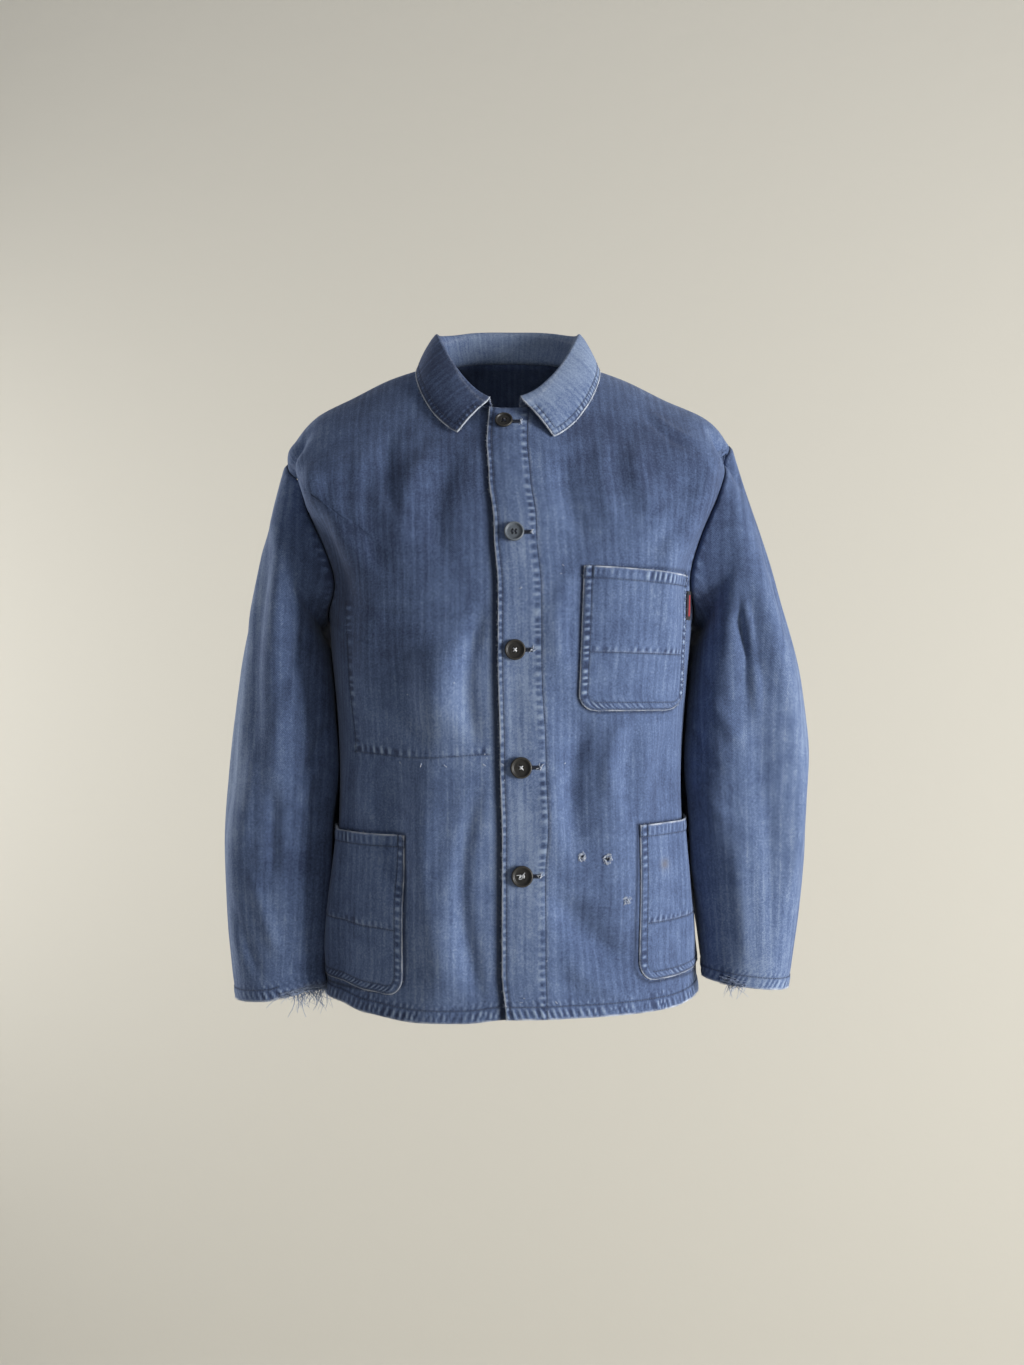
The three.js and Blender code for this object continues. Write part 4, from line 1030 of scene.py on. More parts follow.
def tubes(name: str, paths: Array, radius: float | Array, sides: int,
          taper: float) -> bpy.types.Object:
    """Many threads as one mesh.

    Each is a ring of points carried along its path, at right angles to it, a little thinner
    towards the end, with both ends closed.

    Args:
        name: Name of the object.
        paths: Threads by points by three, in millimetres.
        radius: Radius of each thread.
        sides: Corners of a ring.
        taper: How much thinner the end is, as a share.

    Returns:
        The mesh object.
    """
    count, length = paths.shape[:2]
    along = unit(np.gradient(paths, axis=1))
    # No thread runs along this slanted direction, so that it gives each ring its first axis.
    first = unit(np.cross(along, np.array([0.31, 0.52, 0.79])))
    second = np.cross(along, first)
    angle = 2 * math.pi * np.arange(sides) / sides
    size = np.broadcast_to(np.asarray(radius, float), (count,))[:, None, None, None]
    size = size * (1 - taper * np.linspace(0, 1, length))[None, :, None, None]
    ring = np.cos(angle)[:, None] * first[:, :, None]
    ring = ring + np.sin(angle)[:, None] * second[:, :, None]
    points = (paths[:, :, None] + size * ring).reshape(-1, 3)
    index = np.arange(count * length * sides).reshape(count, length, sides)
    a, b = index[:, :-1], index[:, 1:]
    walls = np.stack([a, np.roll(a, -1, axis=2), np.roll(b, -1, axis=2), b], -1).reshape(-1, 4)
    ends = np.concatenate([index[:, 0, ::-1], index[:, -1]])
    share = np.broadcast_to(np.linspace(0, 1, length)[None, :, None], index.shape)
    return make_object(name, points, walls.tolist() + ends.tolist(), {"share": share.ravel()})


# Finishes.


def linear(code: str) -> tuple[float, float, float, float]:
    """An sRGB hex colour as linear red, green, blue and alpha."""
    parts = [int(code[i : i + 2], 16) / 255 for i in (1, 3, 5)]
    return (*[p / 12.92 if p <= 0.04045 else ((p + 0.055) / 1.055) ** 2.4 for p in parts], 1.0)


def add_node(tree: bpy.types.NodeTree, kind: str, inputs: dict | None = None,
             **settings: object) -> bpy.types.Node:
    """Adds a node.

    Args:
        tree: The material's node tree.
        kind: The node's type name.
        inputs: A number, colour or output socket for each input, by name or number.
        settings: The node's own properties.

    Returns:
        The node.
    """
    made = tree.nodes.new(kind)
    for label, value in settings.items():
        setattr(made, label, value)
    for key, value in (inputs or {}).items():
        if isinstance(value, bpy.types.NodeSocket):
            tree.links.new(value, made.inputs[key])
        else:
            made.inputs[key].default_value = value
    return made


class Draft:
    """A material as it is drawn up, with short calls for the nodes that the finishes share."""

    def __init__(self, name: str) -> None:
        """Starts a material with no nodes."""
        self.material = bpy.data.materials.new(name)
        self.material.use_nodes = True
        self.material.node_tree.nodes.clear()

    def add(self, kind: str, inputs: dict | None = None, **settings: object) -> bpy.types.Node:
        """Adds a node to the material."""
        return add_node(self.material.node_tree, kind, inputs, **settings)

    def place(self) -> Socket:
        """The place on the object, in metres."""
        return self.add("ShaderNodeTexCoord").outputs["Object"]

    def cut(self) -> Socket:
        """The place on the flat cloth, in metres."""
        return self.add("ShaderNodeUVMap", uv_map="cut").outputs[0]

    def read(self, label: str) -> Socket:
        """A number stored on the mesh."""
        return self.add("ShaderNodeAttribute", attribute_name=label).outputs["Fac"]

    def calc(self, kind: str, a: object, b: object = 0.0, c: object = 0.0) -> Socket:
        """A Math node's output."""
        return self.add("ShaderNodeMath", {0: a, 1: b, 2: c}, operation=kind).outputs[0]

    def swing(self, noise: Socket, size: float, base: object) -> Socket:
        """A base moved up and down by a noise from 0 to 1, times a size."""
        return self.calc("MULTIPLY_ADD", self.calc("SUBTRACT", noise, 0.5), size, base)

    def clamp(self, value: Socket) -> Socket:
        """A value kept between 0 and 1."""
        return self.add("ShaderNodeClamp", {0: value}).outputs[0]

    def noise(self, vector: Socket, scale: float, detail: float, rough: float = 0.5) -> Socket:
        """A Noise Texture's height."""
        wanted = {"Vector": vector, "Scale": scale, "Detail": detail, "Roughness": rough}
        return self.add("ShaderNodeTexNoise", wanted).outputs[0]

    def blend(self, share: object, a: object, b: object) -> Socket:
        """A colour a given share of the way from a to b."""
        return self.add("ShaderNodeMix", {0: share, 6: a, 7: b}, data_type="RGBA").outputs[2]

    def finished(self, height: Socket, bump: tuple[float, float],
                 **shading: object) -> bpy.types.Material:
        """Ends the material with a bump, a Principled shader and the output.

        Args:
            height: The relief.
            bump: The bump's strength, and its distance in metres.
            shading: The shader's inputs, with underscores in place of spaces.

        Returns:
            The material.
        """
        strength, distance = bump
        wanted = {"Strength": strength, "Distance": distance, "Height": height}
        relief = self.add("ShaderNodeBump", wanted)
        inputs = {label.replace("_", " "): value for label, value in shading.items()}
        inputs["Normal"] = relief.outputs[0]
        shader = self.add("ShaderNodeBsdfPrincipled", inputs)
        self.add("ShaderNodeOutputMaterial", {"Surface": shader.outputs[0]})
        return self.material


class Finish(Protocol):
    """What every finish has: the real material's name, and its nodes."""

    name: str

    def material(self) -> bpy.types.Material:
        """The finish as a Blender material."""
        ...


def settle(piece: bpy.types.Object, finish: Finish,
           stands_for: str = "") -> bpy.types.Object:
    """Dresses a finished piece and ties it to the jacket's one body.

    Args:
        piece: The mesh object.
        finish: Its finish, made once and shared by all that wear it.
        stands_for: The CAD node that it replaces, if any.

    Returns:
        The piece.
    """
    piece.data.materials.append(bpy.data.materials.get(finish.name) or finish.material())
    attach(piece, "root")
    if stands_for:
        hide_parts(stands_for)
    return piece


@dataclass(frozen=True)
class WashedTwill:
    """Cotton herringbone twill, piece-dyed blue, worn and washed many times.

    The eye gets a dull, dry blue with pale rubbed edges and crests, painted shade in the stitch
    grooves and beside pockets, lapped edges and armholes, soft stripes where the twill turns,
    and a faint nap.
    """

    name: str
    fade: float = 0.0
    deep: str = "#36415e"
    blue: str = "#586a8e"
    blue_at: float = 0.42
    pale: str = "#93a3bc"
    bare: str = "#c9cfd9"
    # The colour of the painted shade in grooves and beside edges.
    painted_shade_colour: str = "#1c2336"
    stain: str = "#6a6158"
    nap: str = "#c0c9d8"
    # One band of the herringbone is 4.3 mm wide, as on the real cloth.
    band: float = 4.3
    # Real twill lines are about 0.8 mm apart, drawn here at 2.4 mm so that they show.
    line: float = 2.4
    climb: float = 1.7
    # Warp streaks a metre of cloth, across it and along it: 3 mm apart and 90 mm long.
    streaks: tuple[float, float, float] = (330.0, 11.0, 1.0)
    # How much each thing moves the tone, from 0, deep, to 1, pale.
    middle: float = 0.36
    by_broad: float = 0.55
    by_mottle: float = 0.5
    by_streak: float = 0.44
    by_stripe: float = 0.08
    by_fine: float = 1.0
    by_twill: float = 0.085
    by_crest: float = 0.62
    by_trough: float = 0.6

    def material(self) -> bpy.types.Material:
        """The cloth's nodes, driven by its cut and by the seam attributes."""
        draft = Draft(self.name)
        calc, swing = draft.calc, draft.swing
        cut, place = draft.cut(), draft.place()
        parts = draft.add("ShaderNodeSeparateXYZ", {0: cut}).outputs
        across, along = (calc("MULTIPLY", part, 1 / MM) for part in (parts[0], parts[1]))

        # The twill line climbs over one band and falls over the next.
        phase = calc("MULTIPLY_ADD", calc("PINGPONG", across, self.band), self.climb, along)
        twill = calc("SINE", calc("MULTIPLY", phase, 2 * math.pi / self.line))
        turned = calc("SINE", calc("MULTIPLY", across, math.pi / self.band))

        stretched = draft.add("ShaderNodeMapping", {"Vector": cut, "Scale": self.streaks})
        streak = draft.noise(stretched.outputs[0], 1.0, 2.0, 0.55)
        broad = draft.noise(place, 9.0, 3.0, 0.55)
        mottled = draft.noise(place, 55.0, 4.0, 0.6)
        fine = draft.noise(place, 520.0, 3.0, 0.75)

        amount = swing(broad, self.by_broad, self.middle + self.fade)
        # The stored lightening holds faded and deep dye, and painted light and shade.
        amount = calc("ADD", amount, draft.read("fade"))
        amount = swing(streak, self.by_streak, swing(mottled, self.by_mottle, amount))
        stripes = calc("MULTIPLY", turned, calc("MULTIPLY_ADD", streak, 0.9, 0.15))
        amount = calc("MULTIPLY_ADD", stripes, self.by_stripe, amount)
        amount = calc("MULTIPLY_ADD", twill, self.by_twill, swing(fine, self.by_fine, amount))
        pucker = draft.read("pucker")
        amount = calc("MULTIPLY_ADD", calc("MAXIMUM", pucker, 0.0), self.by_crest, amount)
        amount = calc("MULTIPLY_ADD", calc("MINIMUM", pucker, 0.0), self.by_trough, amount)
        ramp = draft.add("ShaderNodeValToRGB", {0: draft.clamp(amount)})
        stops = ramp.color_ramp.elements
        stops[0].position, stops[0].color = 0.0, linear(self.deep)
        stops[1].position, stops[1].color = 1.0, linear(self.pale)
        stops.new(self.blue_at).color = linear(self.blue)

        # Rubbed places show the undyed cotton, broken up by the weave.
        wear = draft.read("wear")
        patchy = swing(mottled, 1.1, swing(fine, 1.5, wear))
        rubbed = draft.clamp(calc("MULTIPLY", patchy, wear))
        colour = draft.blend(rubbed, ramp.outputs[0], linear(self.bare))
        # Then painted shade in the stitch grooves and beside pockets, lapped edges and armholes,
        # oil or rust that never washed out, and the deep blue of the inside.
        shares = ((draft.clamp(draft.read("painted_shade")), 0.75, self.painted_shade_colour),
                  (draft.read("stain"), 0.7, self.stain), (draft.read("inside"), 0.35, self.deep))
        for share, strength, tone in shares:
            colour = draft.blend(calc("MULTIPLY", share, strength), colour, linear(tone))

        relief = calc("MULTIPLY_ADD", twill, 0.055, calc("MULTIPLY", fine, 0.20))
        relief = calc("MULTIPLY_ADD", mottled, 0.35, relief)
        relief = calc("MULTIPLY_ADD", turned, 0.05, relief)
        return draft.finished(
            relief, (0.7, 0.0010), Base_Color=colour, Roughness=0.93, Specular_IOR_Level=0.18,
            Sheen_Weight=0.22, Sheen_Roughness=0.55, Sheen_Tint=linear(self.nap),
        )


@dataclass(frozen=True)
class CottonThread:
    """Loose or sewn cotton thread, spun and dyed: a matt fibre with a slightly paler end."""

    name: str
    colour: str
    end: str

    def material(self) -> bpy.types.Material:
        """Thread nodes: colour along its length, with fibre-fine variation and bump."""
        draft = Draft(self.name)
        # Spun fibres are under 0.1 mm apart, drawn at about 1 mm.
        fibre = draft.noise(draft.place(), 900.0, 2.0)
        uneven = draft.calc("MULTIPLY_ADD", fibre, 0.5, draft.read("share"))
        colour = draft.blend(uneven, linear(self.colour), linear(self.end))
        return draft.finished(
            fibre, (0.5, 0.0003), Base_Color=colour, Roughness=0.95, Specular_IOR_Level=0.15,
            Sheen_Weight=0.3, Sheen_Roughness=0.5,
        )


@dataclass(frozen=True)
class ButtonPlastic:
    """Urea button plastic, turned and tumbled: dark, with a soft gloss and rubbed scratches."""

    name: str
    colour: str
    # The paler colour of the clouds and of the rim, whose paleness is rubbing and a painted
    # highlight.
    rubbed: str
    roughness: float
    # The colour of the painted shade in the holes.
    hole_shade_colour: str = "#08080a"

    def material(self) -> bpy.types.Material:
        """Plastic nodes: cloudy colour, a paler rim of rubbing and painted highlight, painted
        shade in the holes, and roughness that varies with wear.
        """
        draft = Draft(self.name)
        place = draft.place()
        # Moulding clouds are about 4 mm across, and scratches about 1 mm apart.
        cloud, scratch = draft.noise(place, 240.0, 3.0), draft.noise(place, 1000.0, 2.0)
        # The wear stored on the rim is rubbing and a painted highlight.
        uneven = draft.calc("MULTIPLY_ADD", cloud, 0.25, draft.read("wear"))
        colour = draft.blend(uneven, linear(self.colour), linear(self.rubbed))
        # Painted shade in the holes.
        colour = draft.blend(draft.read("painted_hole_shade"), colour, linear(self.hole_shade_colour))
        ends = {0: scratch, 3: self.roughness - 0.07, 4: self.roughness + 0.22}
        gloss = draft.add("ShaderNodeMapRange", ends).outputs[0]
        return draft.finished(
            scratch, (0.25, 0.0002), Base_Color=colour, Roughness=gloss, IOR=1.55,
            Specular_IOR_Level=0.5,
        )


@dataclass(frozen=True)
class WovenRibbon:
    """A woven polyester ribbon, black with one plain red bar: fine ribs and a faint shine."""

    name: str = "woven polyester ribbon"
    ground: str = "#15131a"
    bar: str = "#a3202c"
    # In metres: the bar's two sides, its two ends, how soft its edge is, and the ribs' spacing.
    across: tuple[float, float] = (0.0018, 0.0038)
    along: tuple[float, float] = (0.004, 0.027)
    soft: float = 2e-4
    rib: float = 0.0009

    def material(self) -> bpy.types.Material:
        """Ribbon nodes: the bar between its sides and ends, and the ribs."""
        draft = Draft(self.name)
        parts = draft.add("ShaderNodeSeparateXYZ", {0: draft.cut()}).outputs

        def within(value: Socket, low: float, high: float) -> Socket:
            """1 where a value in metres lies between two others, with soft ends."""
            rise = {0: value, 1: low - self.soft, 2: low + self.soft}
            fall = {0: value, 1: high - self.soft, 2: high + self.soft, 3: 1.0, 4: 0.0}
            sides = [draft.add("ShaderNodeMapRange", ends).outputs[0] for ends in (rise, fall)]
            return draft.calc("MULTIPLY", *sides)

        wide, tall = within(parts[0], *self.across), within(parts[1], *self.along)
        bar = draft.calc("MULTIPLY", wide, tall)
        colour = draft.blend(bar, linear(self.ground), linear(self.bar))
        rib = draft.calc("SINE", draft.calc("MULTIPLY", parts[1], 2 * math.pi / self.rib))
        return draft.finished(rib, (0.5, 0.0003), Base_Color=colour, Roughness=0.62,
                              Sheen_Weight=0.2)


@dataclass(frozen=True)
class PaintedPlaster:
    """Matt white wall paint on plaster: pale warm grey with a slight trowelled unevenness."""

    name: str = "matt painted plaster"
    colour: str = "#d2cec3"

    def material(self) -> bpy.types.Material:
        """Paint nodes: one pale colour with soft low bumps about 70 mm across and finer ones."""
        draft = Draft(self.name)
        wave = draft.noise(draft.place(), 14.0, 5.0)
        return draft.finished(wave, (0.25, 0.004), Base_Color=linear(self.colour), Roughness=0.95,
                              Specular_IOR_Level=0.1)


# Pieces of cloth.

# Where the cloth is made paler (+) or darker (-): faded or deep dye, with painted light on the
# sleeves' outer sides and painted shade on their inner sides beside the body: place across and
# up, half width, half height, and amount.
FADES_AND_PAINTED_LIGHT = (
    (-80, -560, 90, 130, 0.12), (-52, -360, 50, 90, 0.16), (12, -330, 34, 330, 0.22),
    (-120, -180, 90, 120, -0.20), (140, -80, 80, 70, -0.28), (60, -430, 70, 120, -0.06),
    (100, -330, 60, 90, -0.03), (262, -620, 60, 90, 0.14), (-250, -620, 80, 100, 0.10),
    (222, -52, 34, 34, 0.26), (-215, -64, 40, 34, 0.10), (110, -600, 80, 60, -0.04),
    (312, -380, 26, 190, 0.14), (-302, -380, 26, 220, 0.40), (-262, -230, 30, 110, 0.18),
    (255, -560, 50, 120, 0.12), (-160, -560, 60, 90, -0.14), (160, -560, 40, 100, -0.10),
    (-196, -420, 34, 240, -0.14), (210, -360, 34, 220, -0.10), (-60, -110, 60, 60, -0.10),
    (30, -420, 20, 160, 0.08),
)


def faded_dye_and_painted_light(points: Array) -> Array:
    """How much paler the cloth is made, by faded dye and by painted light and shade: a sum of
    bells over the front, less on the back.
    """
    total = np.zeros(points.shape[:-1])
    for x, z, wide, tall, amount in FADES_AND_PAINTED_LIGHT:
        total = total + amount * bell(points[..., 0] - x, wide) * bell(points[..., 2] - z, tall)
    return total * mix(0.3, 1.0, smooth(40, -10, points[..., 1]))


@dataclass(frozen=True)
class Cut:
    """The flat cut of a piece of cloth, in metres, and how it is held now."""

    flat: tuple[float, float]
    area: float
    held: str
    rests_on: tuple[str, ...] = ()

    def declare(self, piece: bpy.types.Object, with_pieces: list[bpy.types.Object]) -> None:
        """Args:
            piece: The cloth. Not used.
            with_pieces: What is sewn to it. Not used.
        """


# The cut of what shows of each piece, without what is turned under.
CUTS = {
    "back": Cut((0.56, 0.70), 0.362, "hung"),
    "left_front": Cut((0.33, 0.68), 0.189, "hung"),
    "right_front": Cut((0.36, 0.68), 0.198, "hung"),
    "left_sleeve": Cut((0.46, 0.60), 0.207, "hung"),
    "right_sleeve": Cut((0.46, 0.60), 0.201, "hung"),
    "collar": Cut((0.50, 0.11), 0.046, "folded", ("left_front", "right_front", "back")),
    "chest_pocket": Cut((0.12, 0.155), 0.0165, "laid", ("left_front",)),
    "lower_pocket_left": Cut((0.15, 0.165), 0.0235, "laid", ("left_front",)),
    "lower_pocket_right": Cut((0.162, 0.165), 0.025, "laid", ("right_front",)),
    "inner_pocket": Cut((0.145, 0.17), 0.0235, "laid", ("right_front",)),
}


@dataclass
class Edge:
    """A worn edge: its points, and the way that broken fibres stand out from it."""

    points: Array
    out: Array


@dataclass
class Sewn:
    """A piece of cloth as built: its object, its stitches' paths and its worn edges."""

    piece: bpy.types.Object
    stitches: Array
    edges: list[Edge]


def edge_of(outer: Array, inner: Array) -> Edge:
    """A worn edge along one row of points, with the next row inwards."""
    return Edge(outer, unit(outer - inner))


@dataclass
class Panel:
    """One panel of the body, cut from flat cloth and shaped by the worn form."""

    name: str
    side: Side
    finish: WashedTwill
    seed: int
    step: float = 2.2

    def columns(self, rows: Array) -> Array:
        """The turn of each grid point, rows by columns."""
        raise NotImplementedError

    def lift(self, turn: Array, row: Array) -> Array:
        """How far the panel is lifted off the plain body."""
        return np.zeros(turn.shape)

    def sew(self, seams: Seams, u: Array, up: Array, points: Array, row: Array) -> None:
        """Adds the panel's own stitch lines."""
        raise NotImplementedError

    def cut(self, u: Array, up: Array, points: Array, row: Array) -> Array:
        """Each point's place on the flat cloth.

        Lengths start at the front edge. Towards the shoulder they turn over to plain distances
        across, so that the warp stays upright.
        """
        x = points[..., 0]
        return np.stack([mix(u, np.abs(x - x[:, :1]), smooth(7.5, 5.0, row)), up], -1)

    @staticmethod
    def zones(row: Array) -> tuple[Array, Array]:
        """1 where a row is below the armhole, and 1 where it is beside it."""
        skirt = smooth(ARMHOLE_LOW_ROW, ARMHOLE_LOW_ROW + 0.2, row)
        return skirt, smooth(5.2, 5.8, row) * (1 - skirt)

    def sew_hem(self, seams: Seams, u: Array, up: Array, rubbed: float) -> None:
        """The hem's stitches, the puckers on it and over it, and its rubbed edge."""
        seams.ruck(up, u, HEM_PUCKERS, self.seed + 11)
        seams.ruck(up, u, OVER_HEM_PUCKERS, self.seed + 11)
        seams.stitch(up - HEM_HEIGHT, u)
        seams.rub(up, 1.6, rubbed, run=u)

    def worn(self, outer: Array) -> list[Edge]:
        """The edges that have frayed: here the hem."""
        return [edge_of(outer[-1], outer[-2])]

    def build(self) -> Sewn:
        """The panel's grid moved out by cloth, hem, seams and creases, as a closed shell."""
        rows = even_rows(180.0 if self.side is Side.MIDDLE else 35.0, self.step, 1.7)
        turn = self.columns(rows)
        row = np.broadcast_to(rows[:, None], turn.shape)
        points, normal, _ = BODY_FORM.point(turn, row, CLOTH + self.lift(turn, row))
        u = lengths(points, 1)
        down = lengths(points, 0)
        up = down[-1] - down
        seams = Seams(turn.shape)
        self.sew(seams, u, up, points, row)
        hem = hem_rise(up, HEM_HEIGHT)
        outer = points + normal * (seams.lift + hem + rumple(turn, row))[..., None]
        looks = seams.looks(points)
        sign = facing_sign(points, normal)
        shell = Shell(self.name, outer, CLOTH + hem, self.cut(u, up, points, row), looks, sign)
        piece = settle(shell.build(), self.finish, self.name)
        return Sewn(piece, seams.stitches(outer, sign), self.worn(outer))


@dataclass
class FrontPanel(Panel):
    """A front. The left one laps over and shows its worn edge and the facing's stitches."""

    edge_line: float = 4.7
    side_lines: tuple[float, float] = (2.0, 8.5)
    facing: Table = Table(
        ("z", "in_from_edge"),
        (
            (-60, 42), (-178, 43), (-320, 44), (-399, 46), (-470, 46.6), (-520, 43.5), (-620, 44),
            (-664, 41),
        ),
    )
    inner_pocket_line: Table = Table(("x", "z"), ((-165, -398.6), (-96, -403.1), (-22, -399.4)))
    inner_pocket_side: Table = Table(("z", "x"), ((-243, -172), (-300, -170), (-400, -161)))

    def columns(self, rows: Array) -> Array:
        """Turns from the front edge to the side seam or armhole."""
        z = BODY.at("front_z", rows)
        edge = LEFT_EDGE.by("z", "x", z) if self.side > 0 else np.full(z.shape, UNDERLAP_X)
        limit = BODY_FORM.seen_at(edge, z)[0]
        end = self.side * (90 - seam_turn(self.side, rows, ARMHOLE_REACH["front"]))
        fine = (62.0, 1.15) if self.side > 0 else (30.0, 2.2)
        shares = uneven_shares(285.0, 2.2, *fine)
        return mix(limit[:, None], end[:, None], shares[None])

    def lift(self, turn: Array, row: Array) -> Array:
        """The left front rises where it laps over the right one."""
        return BODY_FORM.lap(turn, row) if self.side > 0 else np.zeros(turn.shape)

    def worn(self, outer: Array) -> list[Edge]:
        """The hem, and the left front's own edge, which counts twice as it has frayed most."""
        hem = edge_of(outer[-1], outer[-2])
        return [hem] + [edge_of(outer[:, 0], outer[:, 1])] * (2 if self.side > 0 else 0)

    def sew(self, seams: Seams, u: Array, up: Array, points: Array, row: Array) -> None:
        """Hem, side seam, armhole, and the left edge and facing or the inner pocket's lines."""
        x, z = points[..., 0], points[..., 2]
        last = u[:, -1:] - u
        self.sew_hem(seams, u, up, 0.85)
        skirt, armhole = self.zones(row)
        for line in self.side_lines:
            seams.stitch(last - line, up, skirt)
        seams.ruck(last, up, SIDE_PUCKERS, self.seed + 5, skirt)
        # Painted shadow along the outside of each pocket's edge.
        seams.shade(pocket_shade(points) - 0.8, 1.8, 1.0)
        seams.ruck(last, z, ARMHOLE_PUCKERS, self.seed + 6, armhole)
        # Painted shade along the armhole seam.
        seams.shade(last, 1.4, 0.7, armhole)
        if self.side is Side.LEFT:
            self.sew_edge(seams, u, up, z)
        else:
            self.sew_inner_pocket(seams, x, z)

    def sew_edge(self, seams: Seams, u: Array, up: Array, z: Array) -> None:
        """The left front's edge and facing, with their puckers along the height."""
        facing = u - self.facing.by("z", "in_from_edge", z)
        seams.ruck(u, z, FRONT_EDGE_PUCKERS, self.seed + 1)
        seams.stitch(u - self.edge_line, up)
        seams.ruck(facing, z, FACING_PUCKERS, self.seed + 2)
        seams.stitch(facing, up)
        seams.rub(facing - 1.6, 0.9, 0.3)
        seams.rub(u, 1.1, 1.3, run=up)

    def sew_inner_pocket(self, seams: Seams, x: Array, z: Array) -> None:
        """The shade under the left front's edge, and the inner pocket's bottom and side."""
        # Painted shadow of the left front's lapped edge on the right front, under and beside it.
        seams.shade(x - LEFT_EDGE.by("z", "x", z) + 2.5, 4.6, 1.25)
        line = z - self.inner_pocket_line.by("x", "z", x)
        sewn = smooth(-167, -163, x) * smooth(-19, -23, x)
        seams.stitch(line, x, sewn)
        seams.ruck(line, x, INNER_POCKET_PUCKERS, self.seed + 3, sewn)
        seams.ruck(line, x, UNDER_INNER_POCKET_PUCKERS, self.seed + 3, sewn)
        upright = x - self.inner_pocket_side.by("z", "x", z)
        sewn = smooth(-402, -398, z) * smooth(-240, -246, z)
        seams.stitch(upright, z, sewn)
        seams.ruck(upright, z, INNER_POCKET_SIDE_PUCKERS, self.seed + 4, sewn)


@dataclass
class BackPanel(Panel):
    """The back, one plain panel from shoulder to hem."""

    def columns(self, rows: Array) -> Array:
        """Turns from the wearer's left side seam, over the middle of the back, to the right."""
        left = 90 - seam_turn(Side.LEFT, rows, ARMHOLE_REACH["back"])
        right = 90 - seam_turn(Side.RIGHT, rows, ARMHOLE_REACH["back"])
        shares = np.linspace(0, 1, STRIDE * 56 + 1)
        past = mix(-left[:, None], right[:, None], shares[None])
        return np.where(past < 0, 180 + past, past - 180)

    def cut(self, u: Array, up: Array, points: Array, row: Array) -> Array:
        """The same, but lengths start at the middle of the back."""
        x = points[..., 0]
        left = np.clip(x[:, :-1] / np.maximum(x[:, :-1] - x[:, 1:], 0.01), 0, 1)
        middle = np.sum(np.diff(u, axis=1) * left, axis=1, keepdims=True)
        return np.stack([mix(u - middle, -x, smooth(7.5, 5.0, row)), up], -1)

    def sew(self, seams: Seams, u: Array, up: Array, points: Array, row: Array) -> None:
        """Hem, both side seams and both armholes."""
        self.sew_hem(seams, u, up, 0.8)
        skirt, armhole = self.zones(row)
        shoulder = smooth(5.4, 5.0, row)
        for last in (u, u[:, -1:] - u):
            seams.stitch(last - 2.0, up, np.maximum(skirt, shoulder))
            seams.ruck(last, up, BACK_SIDE_PUCKERS, self.seed + 5, skirt)
            seams.ruck(last, points[..., 2], BACK_ARMHOLE_PUCKERS, self.seed + 6, armhole)
            # Painted shade along each armhole seam.
            seams.shade(last, 1.4, 0.7, armhole)


